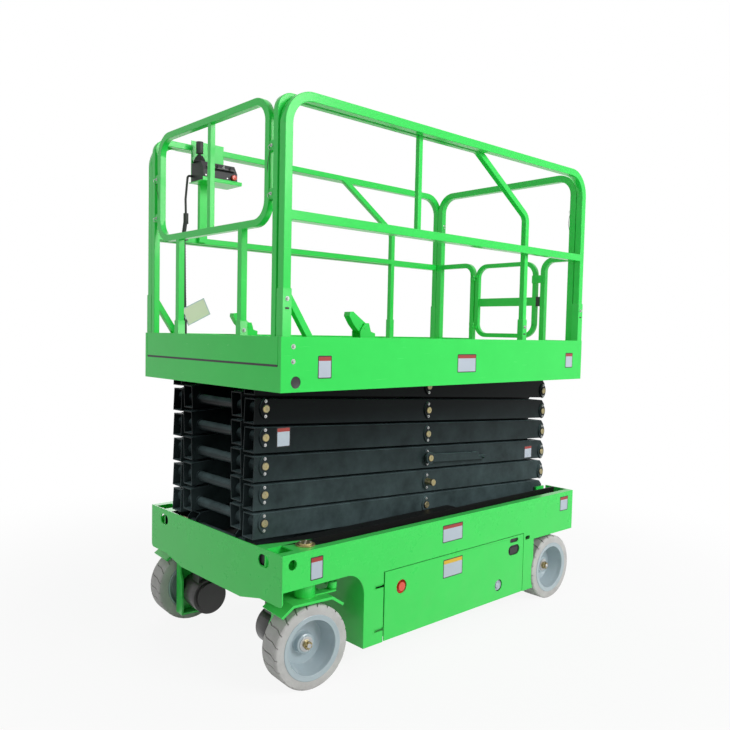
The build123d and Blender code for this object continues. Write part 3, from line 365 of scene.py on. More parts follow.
# The faces inside the wells get the near-black painted shade as their second material.
WELL_HALF_LENGTH, WELL_HALF_WIDTH, WELL_FLOOR_Z = 0.95, 0.5545, 0.470
chassis = nodes["chassis_frame"].data
chassis.materials.append(painted_shade_black)
for face in chassis.polygons:
    middle = face.center
    if abs(middle.x) < WELL_HALF_LENGTH and abs(middle.y) < WELL_HALF_WIDTH and middle.z > WELL_FLOOR_Z:
        face.material_index = 1
print("dressed", len(nodes), "solids")


# %% [markdown]
# Small parts are drawn straight into a bmesh, Blender's editable mesh. Three helpers do nearly all of them:
# a turned shape (a profile spun round an axis), a hexagon head, and a plate with round corners. Many of them
# go into one mesh, so a hundred bolts cost one object.

# %% Helpers for small parts
def turned(mesh, profile, centre, axis, segments=24, material=0):
    """Spins (radius, height) points round an axis through centre; an end at radius 0 closes by itself."""
    turn = Vector((0, 0, 1)).rotation_difference(Vector(axis).normalized()).to_matrix()
    rings = []
    for radius, height in profile:
        if radius < 1e-6:
            rings.append([mesh.verts.new(Vector(centre) + turn @ Vector((0, 0, height)))])
            continue
        ring = []
        for step in range(segments):
            angle = 2 * math.pi * step / segments
            spot = Vector((radius * math.cos(angle), radius * math.sin(angle), height))
            ring.append(mesh.verts.new(Vector(centre) + turn @ spot))
        rings.append(ring)
    for low, high in zip(rings, rings[1:]):
        for step in range(segments):
            after = (step + 1) % segments
            around = ((low, step), (low, after), (high, after), (high, step))
            loop = list(dict.fromkeys(ring[place % len(ring)] for ring, place in around))
            if len(loop) > 2:
                mesh.faces.new(loop).material_index = material


def bolt(mesh, centre, axis, across, material=0, washer=True):
    """A hexagon head on a washer; across is the size over flats."""
    height, flat = across * 0.6, across / 2 / math.cos(math.pi / 6)
    base = 0.0
    if washer:
        turned(mesh, [(0, 0), (across * 0.95, 0), (across * 0.95, across * 0.14), (0, across * 0.14)], centre,
               axis, 20, material)
        base = across * 0.14
    profile = [(flat, base), (flat, base + height * 0.82), (flat * 0.86, base + height), (0, base + height)]
    turned(mesh, profile, centre, axis, 6, material)


def plate(mesh, centre, across, up, width, height, thick=0.0006, corner=0.004, material=0):
    """A thin sheet with round corners; across and up are its directions in the face it lies on."""
    across, up = Vector(across).normalized(), Vector(up).normalized()
    out = across.cross(up)
    outline = []
    for sx, sy, start in ((1, 1, 0), (-1, 1, 90), (-1, -1, 180), (1, -1, 270)):
        for step in range(5):
            angle = math.radians(start + step * 22.5)
            outline.append((sx * (width / 2 - corner) + corner * math.cos(angle),
                            sy * (height / 2 - corner) + corner * math.sin(angle)))
    front = [mesh.verts.new(Vector(centre) + across * u + up * v + out * thick) for u, v in outline]
    back = [mesh.verts.new(Vector(centre) + across * u + up * v) for u, v in outline]
    mesh.faces.new(front).material_index = material
    mesh.faces.new(list(reversed(back))).material_index = material
    for step in range(len(outline)):
        after = (step + 1) % len(outline)
        side = mesh.faces.new([front[step], back[step], back[after], front[after]])
        side.material_index = material


def make_piece(name, mesh, body, materials, smooth=40.0):
    """Turns a bmesh into an object that rides on a body."""
    bmesh.ops.recalc_face_normals(mesh, faces=mesh.faces)
    data = bpy.data.meshes.new(name)
    mesh.to_mesh(data)
    mesh.free()
    for material in materials:
        data.materials.append(material)
    data.shade_smooth()
    data.set_sharp_from_angle(angle=math.radians(smooth))
    piece = bpy.data.objects.new(name, data)
    bpy.context.scene.collection.objects.link(piece)
    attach(piece, body)
    return piece


# %% [markdown]
# A moulded tread is easier to lay out flat and wrap round. The tyre's section runs from bead to bead; round
# the wheel, the mesh lines stand exactly at the edges of each groove, and every line bends with the groove's
# zigzag as it crosses the tread. A strip between two such lines is then simply sunk to make the groove, so
# the edges are crisp with few faces.

# %% Cut the tread
CORNERS = ("front_left", "front_right", "rear_left", "rear_right")
TYRE_HALF_WIDTH = 0.0625
SHOULDER = 0.008
GROOVES = 21
GROOVE_WIDTH = 0.0066
GROOVE_DEPTH = 0.0085
ZIGZAG = 0.017
GROOVE_BENDS = [(-1.0, 0.95), (-0.50, 0.0), (0.28, 0.0), (1.0, -1.15)]  # shares of half width and of zigzag
TREAD_LINES = (0.60, 0.28, 0.0, -0.28, -0.50, -0.70)                    # shares of the half width
LANDS = 4


def wheel_axis(corner):
    joint = next(j for j in frame["joints"] if j["name"] == "wheel_" + corner)
    return Vector(joint["axis"]).normalized()


def wheel_out(corner):
    """The direction from the machine's middle out through a wheel's hub."""
    return wheel_axis(corner) * (1 if "left" in corner else -1)


def tread_shift(share):
    """How far round the wheel a groove lies at a share of the tread's width, from -1 to 1."""
    for (a, shift_a), (b, shift_b) in zip(GROOVE_BENDS, GROOVE_BENDS[1:]):
        if share <= b:
            return ZIGZAG * (shift_a + (shift_b - shift_a) * (share - a) / (b - a))
    return ZIGZAG * GROOVE_BENDS[-1][1]


def tyre_section(radius, bead, half):
    """(radius, y, groove share) points from one bead over the tread to the other."""
    side = [(bead + 0.0005, half - 0.004, 0.0), (bead + 0.004, half - 0.0006, 0.0),
            ((bead + radius) / 2, half, 0.0), (radius - SHOULDER, half - 0.001, 0.0),
            (radius - SHOULDER * 0.6, half - 0.0022, 0.75), (radius - SHOULDER * 0.25, half - 0.0055, 1.0),
            (radius, half - SHOULDER, 1.0)]
    tread = [(radius, half * share, 1.0) for share in TREAD_LINES]
    mirrored = [(r, -y, g) for r, y, g in reversed(side)]
    return side + tread + mirrored


def make_tyre(corner):
    node = "tyre_" + corner
    centre = pivot["wheel_" + corner]
    rim_low, rim_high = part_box("rim_" + corner)
    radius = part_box(node)[1].z - centre.z
    section = tyre_section(radius, (rim_high.z - rim_low.z) / 2, TYRE_HALF_WIDTH)
    turn = Vector((0, 1, 0)).rotation_difference(wheel_axis(corner)).to_matrix()
    mesh = bmesh.new()
    pitch = 2 * math.pi / GROOVES
    half_groove = GROOVE_WIDTH / 2 / radius
    steps = [(-half_groove, 0.0), (-half_groove * 0.8, 1.0), (half_groove * 0.8, 1.0), (half_groove, 0.0)]
    gap = (pitch - 2 * half_groove) / (LANDS + 1)
    steps += [(half_groove + gap * (n + 1), 0.0) for n in range(LANDS)]
    rings = []
    for groove in range(GROOVES):
        for angle, deep in steps:
            ring = []
            for r, y, share in section:
                round_angle = groove * pitch + angle + tread_shift(y / TYRE_HALF_WIDTH) / radius
                reach = r - GROOVE_DEPTH * deep * share
                spot = Vector((reach * math.cos(round_angle), y, reach * math.sin(round_angle)))
                ring.append(mesh.verts.new(centre + turn @ spot))
            rings.append(ring)
    for place, ring in enumerate(rings):
        after = rings[(place + 1) % len(rings)]
        for a in range(len(section) - 1):
            mesh.faces.new([ring[a], ring[a + 1], after[a + 1], after[a]])
        mesh.faces.new([ring[-1], ring[0], after[0], after[-1]])
    tyre = make_piece("tread_" + corner, mesh, "wheel_" + corner, [grey_rubber], smooth=32.0)
    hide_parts(node)
    return len(tyre.data.polygons)


print("tyre faces:", [make_tyre(corner) for corner in CORNERS])

# %% [markdown]
# Each hub is held by a castle nut: a hexagon with a crown of slots, locked by a split pin through the stub of
# the spindle. It is small, but it is the brightest thing in the dish, so it gets its real shape. The box
# helper below draws a straight-sided block in any direction; the crown's six teeth are such blocks.

# %% Fit the castle nuts
HUB_FACE, NUT_ACROSS = 0.0095, 0.038


def slab(mesh, centre, directions, half_sizes, material=0):
    """A block about its centre; directions are three unit vectors at right angles."""
    corners = []
    for sx, sy, sz in ((-1, -1, -1), (1, -1, -1), (1, 1, -1), (-1, 1, -1), (-1, -1, 1), (1, -1, 1), (1, 1, 1),
                       (-1, 1, 1)):
        offset = sum((d * h * s for d, h, s in zip(directions, half_sizes, (sx, sy, sz))), Vector())
        corners.append(mesh.verts.new(Vector(centre) + offset))
    for loop in ((3, 2, 1, 0), (4, 5, 6, 7), (0, 1, 5, 4), (1, 2, 6, 5), (2, 3, 7, 6), (3, 0, 4, 7)):
        mesh.faces.new([corners[i] for i in loop]).material_index = material


UPRIGHT = (Vector((1, 0, 0)), Vector((0, 1, 0)), Vector((0, 0, 1)))


def box(mesh, low, high, material=0):
    low, high = Vector(low), Vector(high)
    slab(mesh, (low + high) / 2, UPRIGHT, (high - low) / 2, material)


def castle_nut(mesh, base, out):
    """Washer, hexagon, crown of teeth, the spindle's end and its split pin."""
    side = out.cross(Vector((0, 0, 1))).normalized()
    up = side.cross(out).normalized()
    radius = NUT_ACROSS / 2 / math.cos(math.pi / 6)
    turned(mesh, [(0.034, 0.0), (0.034, 0.003), (0.030, 0.004), (0.0, 0.004)], base, out, 28, 1)
    turned(mesh, [(radius, 0.003), (radius, 0.016), (radius * 0.9, 0.018), (0.0, 0.018)], base, out, 6)
    for step in range(6):
        angle = math.radians(30 + 60 * step)
        radial = side * math.cos(angle) + up * math.sin(angle)
        along = out.cross(radial)
        slab(mesh, base + radial * 0.0135 + out * 0.0205, (radial, along, out), (0.0040, 0.0048, 0.0042))
    turned(mesh, [(0.0105, 0.017), (0.0105, 0.027), (0.0085, 0.029), (0.0, 0.029)], base, out, 16, 1)
    slab(mesh, base + out * 0.0215, (up, side, out), (0.024, 0.0018, 0.0018), 1)
    slab(mesh, base + out * 0.0265 + up * 0.021, (up, side, out), (0.0018, 0.0018, 0.006), 1)


for corner in CORNERS:
    out = wheel_out(corner)
    mesh = bmesh.new()
    castle_nut(mesh, pivot["wheel_" + corner] + out * HUB_FACE, out)
    make_piece("castle_nut_" + corner, mesh, "wheel_" + corner, [brass, bright_zinc])
print("castle nuts on", len(CORNERS), "hubs")

# %% [markdown]
# The dish's edge is rolled outwards over the tyre's bead. The rolled lip is one turned ring on each wheel's
# outer side.

# %% Roll the rims' lips
LIP_RADIUS = 0.1480
for corner in CORNERS:
    rim_low, rim_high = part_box("rim_" + corner)
    edge = (rim_high.z - rim_low.z) / 2
    under = [(edge - 0.0060, 0.0590), (edge, 0.0598), (LIP_RADIUS, 0.0622), (LIP_RADIUS + 0.0008, 0.0636)]
    over = [(LIP_RADIUS - 0.0010, 0.0648), (LIP_RADIUS - 0.0040, 0.0646), (edge - 0.0085, 0.0612),
            (edge - 0.0085, 0.0596)]
    mesh = bmesh.new()
    turned(mesh, under + over + under[:1], pivot["wheel_" + corner], wheel_out(corner), 72)
    make_piece("rim_lip_" + corner, mesh, "wheel_" + corner, [dish_grey])
print("lips reach", LIP_RADIUS, "m from the axles")

# %% [markdown]
# Every pin of the stack is kept from turning by a lozenge-shaped flange: wide round the pin, narrow at its
# two bolts, above and below. Flange and bolts belong to the outer arm, the pin and its lathe centre mark to
# the inner pair, so they turn against each other as the stack opens, as on the machine.

# %% Fit the pin flanges
FLANGE_HALF_WIDTH, FLANGE_HALF_HEIGHT, FLANGE_THICK = 0.031, 0.047, 0.003
FLANGE_STEPS = 36
FLANGE_BOLT, FLANGE_BOLT_ACROSS = 0.034, 0.0080


def lozenge(mesh, centre, out, thick):
    """A flat lens shape round a pin: big radius in the middle, small ends above and below."""
    side = Vector((1, 0, 0)) * out.y
    up = Vector((0, 0, 1))
    outline = []
    for step in range(FLANGE_STEPS):
        angle = 2 * math.pi * step / FLANGE_STEPS
        c, s = math.cos(angle), math.sin(angle)
        outline.append(side * (FLANGE_HALF_WIDTH * c) + up * (FLANGE_HALF_HEIGHT * s * (0.72 + 0.28 * s * s)))
    back = [mesh.verts.new(centre + p) for p in outline]
    front = [mesh.verts.new(centre + p * 0.96 + out * thick) for p in outline]
    mesh.faces.new(front)
    mesh.faces.new(list(reversed(back)))
    for step in range(FLANGE_STEPS):
        after = (step + 1) % FLANGE_STEPS
        mesh.faces.new([back[step], back[after], front[after], front[step]])


def pin_height(level):
    return pivot["lift"].z + rise * level


flange_count = 0
for level in range(1, LEVELS + 1):
    mesh = bmesh.new()
    for x, z in ((pin_rear_x, pin_height(level - 1)), (pin_mid_x, pin_height(level - 0.5)),
                 (pin_front_x, pin_height(level))):
        for side in (1, -1):
            out = Vector((0, side, 0))
            face = Vector((x, side * (arm_face_y + BOSS_PROUD), z))
            if level == LEVELS and x == pin_front_x or level == 1 and x == pin_rear_x:
                continue
            lozenge(mesh, face - out * BOSS_PROUD, out, BOSS_PROUD + FLANGE_THICK)
            for up in (-FLANGE_BOLT, FLANGE_BOLT):
                spot = face + Vector((0, 0, up)) + out * FLANGE_THICK
                bolt(mesh, spot, out, FLANGE_BOLT_ACROSS, material=1)
            flange_count += 1
    make_piece(f"pin_flanges_{level}", mesh, f"outer_{level}", [charcoal, bright_zinc])
print(flange_count, "flanges")


# %% Mark the pins
COLLAR_Y = 0.2682
LONG_PIN_LEVELS = (2, 3)
PIN_END_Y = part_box("pins_5")[1].y


def pin_end(mesh, spot, out):
    """The chamfered end of a pin with its lathe centre, and a snap ring round it, black as a painted shadow ring.
    """
    turned(mesh, [(0.0176, -0.004), (0.0176, 0.0), (0.0160, 0.0016), (0.0046, 0.0016), (0.0040, 0.0006),
                  (0.0, -0.002)], spot, out, 28)
    # The snap ring takes the second finish, black enamel: painted shade, a dark shadow ring round the pin's end.
    turned(mesh, [(0.0176, -0.0045), (0.0205, -0.0045), (0.0205, -0.003), (0.0176, -0.003)], spot, out, 28, 1)


for level in range(1, LEVELS + 1):
    mesh = bmesh.new()
    long_pin_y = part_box(f"pins_{level}")[1].y
    for side in (1, -1):
        out = Vector((0, side, 0))
        for x, z in ((pin_front_x, pin_height(level - 1)), (pin_mid_x, pin_height(level - 0.5)),
                     (pin_rear_x, pin_height(level))):
            if level == 1 and x == pin_front_x or level == LEVELS and x == pin_rear_x:
                continue
            is_long = side > 0 and x == pin_mid_x and level in LONG_PIN_LEVELS
            pin_end(mesh, Vector((x, side * (long_pin_y if is_long else PIN_END_Y), z)), out)
            turned(mesh, [(0.0182, 0.0), (0.027, 0.0), (0.027, 0.011), (0.0182, 0.011)],
                   Vector((x, side * COLLAR_Y, z)), out, 24, 1)
    make_piece(f"pin_ends_{level}", mesh, f"inner_{level}", [passivated, black_enamel])
print("pin ends at y", round(PIN_END_Y, 4))

# %% [markdown]
# Blank plates. Real machines carry many notices; here each place keeps its plate with the colour of its head
# band and nothing written on it. A dark rim, a shade wider than the field, gives the printed border.

# %% Stick on the blank plates
BORDER_VINYL, FIELD, RED, YELLOW = 0, 1, 2, 3
PLATE_BORDER = 0.0045
plate_finishes = [black_enamel, white_vinyl, red_vinyl, yellow_vinyl]


def notice(mesh, centre, across, up, width, height, head, head_share=0.18):
    """A dark-edged plate, its pale field and the coloured band along its top."""
    across, up = Vector(across), Vector(up)
    out = across.cross(up).normalized()
    centre = Vector(centre)
    inner_width, inner_height = width - 2 * PLATE_BORDER, height - 2 * PLATE_BORDER
    plate(mesh, centre, across, up, width, height, 0.0005, 0.005, BORDER_VINYL)
    plate(mesh, centre + out * 0.0001, across, up, inner_width, inner_height, 0.0006, 0.004, FIELD)
    band = height * head_share
    band_centre = centre + up * (height / 2 - band / 2 - PLATE_BORDER) + out * 0.0002
    plate(mesh, band_centre, across, up, inner_width, band, 0.0007, 0.003, head)


LEFT_FACING = ((-1, 0, 0), (0, 0, 1))
RIGHT_FACING = ((1, 0, 0), (0, 0, 1))
platform_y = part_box("platform_deck")[1].y
chassis_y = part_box("chassis_frame")[1].y
door_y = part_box("tray_left")[1].y
DOOR_NOTICE_X, DOOR_NOTICE_Z = 0.005, 0.372
# centre x and z, width, height, colour of the head band
notices = {
    "platform": [(0.922, 1.441, 0.078, 0.100, RED), (-0.043, 1.446, 0.150, 0.095, RED),
                 (-1.009, 1.452, 0.077, 0.090, RED)],
    "chassis": [(0.013, 0.558, 0.160, 0.092, RED), (-1.036, 0.566, 0.085, 0.088, RED),
                (0.934, 0.550, 0.072, 0.104, RED)],
}
for body, y in (("platform", platform_y), ("chassis", chassis_y)):
    mesh = bmesh.new()
    for x, z, width, height, head in notices[body]:
        notice(mesh, (x, y, z), *LEFT_FACING, width, height, head)
        notice(mesh, (x, -y, z), *RIGHT_FACING, width, height, head)
    make_piece(f"notices_{body}", mesh, body, plate_finishes)
for side, name, facing in ((1, "left", LEFT_FACING), (-1, "right", RIGHT_FACING)):
    mesh = bmesh.new()
    notice(mesh, (DOOR_NOTICE_X, side * chassis_y, DOOR_NOTICE_Z), *facing, 0.155, 0.098, YELLOW, 0.2)
    make_piece(f"notice_tray_{name}", mesh, f"tray_{name}", plate_finishes)
for level, x, width, height in ((4, 0.960, 0.078, 0.092), (3, -0.966, 0.078, 0.078)):
    mesh = bmesh.new()
    share = (x - pin_rear_x) / (pin_front_x - pin_rear_x)
    z = pin_height(level - 1 + share)
    for side, facing in ((1, LEFT_FACING), (-1, RIGHT_FACING)):
        notice(mesh, (x, side * (arm_face_y + 0.0002), z), *facing, width, height, RED)
    make_piece(f"notices_arm_{level}", mesh, f"outer_{level}", plate_finishes)

# %% [markdown]
# The skirts are bolted to the deck, and the rails plug into square sleeves on it, each with a cross bolt and
# a short slot below, drawn as a thin black sheet that is painted shade for the slot's dark inside. A sleeve is
# drawn as a slightly larger tube round the post with a chamfered mouth.
# A black rubber seal lies along the front of the roll-out deck.

# %% Add sleeves and deck bolts
SQUARE = ((-1, -1), (1, -1), (1, 1), (-1, 1))
ROLL_OUT_POST, ROLL_OUT_SLEEVE = 0.016, 0.0188      # half widths of tube and sleeve
SIDE_POST, DECK_SLEEVE = 0.020, 0.0226
ROLL_OUT_REAR_TOP, HOOP_POST_TOP = 1.690, 1.640
DECK_FRONT_TOP, DECK_REAR_TOP = 1.775, 1.800
HOOP_POST_Y = 0.281
SKIRT_BOLT_X, SKIRT_BOLT_HEIGHTS = 1.096, (1.530, 1.467)
SKIRT_HOLE_X, SKIRT_HOLE_Z = 1.080, 1.378
SKIRT_HOLE = [(0.0, 0.0), (0.0258, 0.0), (0.0258, 0.002), (0.021, 0.0005), (0.0, 0.0005)]
SEAL_LOW, SEAL_HIGH = 1.4440, 1.4535


def sleeve(mesh, x, y, low, high, half, side):
    """A square socket round a post with a chamfered mouth and a cross bolt on one side."""
    rings = []
    for z, grow in ((low, 0.0), (high - 0.004, 0.0), (high, -0.003)):
        h = half + grow
        rings.append([mesh.verts.new((x + sx * h, y + sy * h, z)) for sx, sy in SQUARE])
    for under, over in zip(rings, rings[1:]):
        for step in range(4):
            after = (step + 1) % 4
            mesh.faces.new([under[step], under[after], over[after], over[step]])
    mesh.faces.new(rings[-1])
    mesh.faces.new(list(reversed(rings[0])))
    out = Vector((0, side, 0))
    bolt(mesh, Vector((x, y, high - 0.045)) + out * half, out, 0.0105, material=1)
    # The slot is a thin black sheet on the sleeve's face: painted shade for its dark inside.
    slab(mesh, Vector((x, y, high - 0.085)) + out * half, UPRIGHT, (0.010, 0.0006, 0.004), material=2)


roll_out_low, roll_out_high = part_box("extension_rail_left")
deck_top = roll_out_low.z
ext_rail_mid_y = (roll_out_low.y + roll_out_high.y) / 2
front_low, front_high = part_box("front_rail")
hoop_mid_x = (front_low.x + front_high.x) / 2
rear_post_x = roll_out_low.x + ROLL_OUT_POST
mesh = bmesh.new()
for side in (1, -1):
    sleeve(mesh, rear_post_x, side * ext_rail_mid_y, deck_top, ROLL_OUT_REAR_TOP, ROLL_OUT_SLEEVE, side)
    sleeve(mesh, hoop_mid_x, side * HOOP_POST_Y, deck_top, HOOP_POST_TOP, ROLL_OUT_SLEEVE, side)
make_piece("roll_out_sleeves", mesh, "extension", [green, bright_zinc, black_plastic])

side_low, side_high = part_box("side_rail_left")
side_mid_y = (side_low.y + side_high.y) / 2
rear_low, rear_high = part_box("rear_rail")
mesh = bmesh.new()
for side in (1, -1):
    for x, top in ((side_high.x - SIDE_POST, DECK_FRONT_TOP), (side_low.x + SIDE_POST, DECK_REAR_TOP)):
        sleeve(mesh, x, side * side_mid_y, side_low.z + 0.0005, top, DECK_SLEEVE, side)
make_piece("deck_sleeves", mesh, "platform", [green, bright_zinc, black_plastic])

mesh = bmesh.new()
for side in (1, -1):
    out = Vector((0, side, 0))
    for z in SKIRT_BOLT_HEIGHTS:
        bolt(mesh, (SKIRT_BOLT_X, side * platform_y, z), out, 0.0115, material=1)
    # A black disc just behind the skirt's round hole: painted shade for the dark inside of the hole.
    turned(mesh, SKIRT_HOLE, (SKIRT_HOLE_X, side * (platform_y - 0.0045), SKIRT_HOLE_Z), out, 32, 2)
make_piece("skirt_bolts", mesh, "platform", [green, bright_zinc, black_plastic])

panel_low, panel_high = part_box("extension_deck")
mesh = bmesh.new()
box(mesh, (panel_high.x - 0.003, panel_low.y + 0.002, SEAL_LOW),
    (panel_high.x + 0.0006, panel_high.y - 0.002, SEAL_HIGH))
make_piece("deck_seal", mesh, "extension", [black_plastic])
print("deck top", round(deck_top, 4), "rear post x", round(rear_post_x, 4))

# %% [markdown]
# The front hoop is pinned to the roll-out rails, and the rear rail to the side rails. Each joint has a pin
# with a ring, and a thin dark lanyard that keeps it from getting lost. The lanyard is a curve with a round
# bevel, turned into a mesh so that it travels with the rails.

# %% Add lanyard pins
def wire(name, points, radius, body, material, order=3):
    """A round wire through the given points as one smooth curve, kept as a mesh."""
    curve = bpy.data.curves.new(name + "_line", "CURVE")
    curve.dimensions = "3D"
    spline = curve.splines.new("NURBS")
    spline.points.add(len(points) - 1)
    for point, place in zip(spline.points, points):
        point.co = (*place, 1.0)
    spline.order_u = order
    spline.use_endpoint_u = True
    curve.bevel_depth = radius
    curve.bevel_resolution = 3
    curve.use_fill_caps = True
    holder = bpy.data.objects.new(name + "_line", curve)
    data = bpy.data.meshes.new_from_object(holder)
    bpy.data.objects.remove(holder)
    data.materials.clear()
    data.materials.append(material)
    data.shade_smooth()
    piece = bpy.data.objects.new(name, data)
    bpy.context.scene.collection.objects.link(piece)
    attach(piece, body)
    return piece


def ring_pin(mesh, spot, out):
    """A locking pin's head with its pull ring."""
    pin = [(0.0070, 0.0), (0.0070, 0.003), (0.0040, 0.004), (0.0040, 0.009), (0.0, 0.009)]
    ring = [(0.0095, -0.0010), (0.0115, -0.0010), (0.0115, 0.0010), (0.0095, 0.0010), (0.0095, -0.0010)]
    turned(mesh, pin, spot, out, 16)
    sideways = Vector((0, 0, 1)).cross(out)
    turned(mesh, ring, spot + out * 0.007 - Vector((0, 0, 0.0095)), sideways, 24)


HOOP_TIE_HEIGHTS, HOOP_TIE_Y = (2.370, 2.170), 0.511
REAR_TIE_Z, REAR_BOLT_Z = 2.372, 2.084
HOOP_PIN_X = hoop_mid_x + 0.0131
# where a lanyard hangs: ahead of the hoop, inwards from its tie, height
HOOP_LANYARD = [(0.020, 0.000, 2.350), (0.022, 0.008, 2.320), (0.018, 0.022, 2.296), (0.016, 0.026, 2.270),
                (0.014, 0.018, 2.248)]
# ahead of the rear rail's post, height
REAR_LANYARD = [(0.000, 2.360), (0.010, 2.330), (0.016, 2.290), (0.004, 2.262), (-0.004, 2.235)]
for side, word in ((1, "left"), (-1, "right")):
    mesh = bmesh.new()
    for z in HOOP_TIE_HEIGHTS:
        ring_pin(mesh, Vector((HOOP_PIN_X, side * HOOP_TIE_Y, z)), Vector((1, 0, 0)))
    make_piece(f"hoop_pins_{word}", mesh, "extension", [bright_zinc])
    points = [(hoop_mid_x + ahead, side * (HOOP_TIE_Y - inwards), z) for ahead, inwards, z in HOOP_LANYARD]
    wire(f"lanyard_{word}", points, 0.0011, "extension", black_plastic)

    mesh = bmesh.new()
    inward = Vector((0, -side, 0))
    tie = Vector((rear_low.x + SIDE_POST, side * (rear_high.y - 2 * SIDE_POST), REAR_TIE_Z))
    ring_pin(mesh, tie + Vector((0, 0, 0.006)), inward)
    bolt(mesh, tie + Vector((0, 0, -0.013)), inward, 0.010, washer=False)
    bolt(mesh, Vector((tie.x, tie.y, REAR_BOLT_Z)), inward, 0.013)
    make_piece(f"rear_pins_{word}", mesh, "platform", [bright_zinc])
    points = [(tie.x + ahead, tie.y - side * 0.010, z) for ahead, z in REAR_LANYARD]
    wire(f"rear_lanyard_{word}", points, 0.0013, "platform", black_plastic)
print("hoop pins at x", round(HOOP_PIN_X, 4), "rear pins at x", round(tie.x, 4))

# %% [markdown]
# The gate closes against a spring latch: a black housing beside the gate's flat bar, with a zinc bolt that
# reaches towards the post.

# %% Add the gate latch
gate_low, gate_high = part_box("gate")
BAR_Z, LATCH_INNER_Y, LATCH_OUTER_Y = 1.818, 0.2895, 0.318
mesh = bmesh.new()
x = gate_low.x
box(mesh, (x + 0.002, LATCH_INNER_Y, BAR_Z - 0.030), (x + 0.026, LATCH_OUTER_Y, BAR_Z + 0.030), 0)
box(mesh, (x + 0.006, 0.266, BAR_Z + 0.004), (x + 0.018, LATCH_INNER_Y + 0.001, BAR_Z + 0.018), 1)
turned(mesh, [(0.006, 0.0), (0.006, 0.004), (0.0045, 0.0055), (0.0, 0.0055)],
       (x + 0.014, LATCH_OUTER_Y, BAR_Z), (0, 1, 0), 16, 1)
make_piece("gate_latch", mesh, "gate", [black_plastic, bright_zinc])
print("latch on the gate, whose box is", [round(v, 3) for v in (*gate_low, *gate_high)])

# %% [markdown]
# Details of the chassis: screws in the caps over the king pins, a black latch that shows through the door's
# slots, and a pale charger socket behind the round hole.

# %% Dress the chassis and trays
KING_SCREW_RING = 0.023
LATCH_REAR_X, LATCH_FRONT_X, LATCH_LOW, LATCH_HIGH, LATCH_DEPTH = -0.600, -0.464, 0.325, 0.438, 0.034
LATCH_INSET, SOCKET_INSET = 0.007, 0.016            # how far behind the door's face

mesh = bmesh.new()
for side in (1, -1):
    centre = Vector((pivot["steer_left"].x, side * pivot["steer_left"].y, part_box("chassis_pins")[1].z))
    for turn in range(4):
        angle = math.radians(45 + 90 * turn)
        spot = centre + Vector((KING_SCREW_RING * math.cos(angle), KING_SCREW_RING * math.sin(angle), 0.0))
        turned(mesh, [(0.0042, -0.001), (0.0042, 0.002), (0.0030, 0.003), (0.0, 0.003)], spot, (0, 0, 1), 14)
    turned(mesh, [(0.0048, -0.001), (0.0048, 0.002), (0.0035, 0.003), (0.0, 0.003)], centre, (0, 0, 1), 6)
make_piece("king_cap_screws", mesh, "chassis", [bright_zinc])

for side, word in ((1, "left"), (-1, "right")):
    face = side * door_y
    mesh = bmesh.new()
    inner = face - side * LATCH_INSET
    low_y, high_y = sorted((inner, inner - side * LATCH_DEPTH))
    box(mesh, (LATCH_REAR_X, low_y, LATCH_LOW), (LATCH_FRONT_X, high_y, LATCH_HIGH), 0)
    slab(mesh, (-0.532, inner + side * 0.001, 0.365), UPRIGHT, (0.034, 0.003, 0.016), 0)
    turned(mesh, [(0.031, 0.0), (0.031, 0.004), (0.025, 0.006), (0.022, 0.003), (0.0, 0.003)],
           (-0.396, face - side * SOCKET_INSET, 0.187), (0.15, side, 0.1), 28, 1)
    turned(mesh, [(0.0, 0.0), (0.014, 0.0), (0.014, 0.012), (0.010, 0.015), (0.0, 0.015)],
           (-0.392, face - side * SOCKET_INSET, 0.184), (0.15, side, 0.1), 20, 1)
    make_piece(f"door_latch_{word}", mesh, f"tray_{word}", [black_plastic, white_vinyl], 50)
print("door face at y", round(door_y, 4))

# %% [markdown]
# The control box on the right rail: a red mushroom button for emergency stops at its rear corner, a round
# knob, a lever in a ribbed rubber boot, a blank panel with a few switches on its sloping face, and a blind
# gland on its rear end. The boot is a turned shape whose profile goes in and out, which gives the folds.

# %% Furnish the control box
PANEL_RUN, PANEL_FALL = 46, 30
SWITCH_STEP, SWITCH_COUNT = 0.040, 4
BOOT_FOLDS = [(0.034, 0.0), (0.034, 0.004), (0.030, 0.007), (0.032, 0.011), (0.026, 0.015), (0.028, 0.019),
              (0.022, 0.023), (0.024, 0.027), (0.017, 0.031), (0.018, 0.035), (0.010, 0.039)]
KNOB = [(0.017, 0.0), (0.017, 0.006), (0.012, 0.010), (0.0, 0.010)]
STOP_BUTTON = [(0.0100, 0.0), (0.0100, 0.006), (0.0155, 0.007), (0.0155, 0.013), (0.0125, 0.017),
               (0.0, 0.019)]
GLAND = [(0.0135, 0.006), (0.0135, -0.001), (0.0105, -0.004), (0.0, -0.004)]
SWITCH = [(0.0075, 0.0), (0.0075, 0.003), (0.0045, 0.004), (0.0035, 0.014), (0.0, 0.0145)]

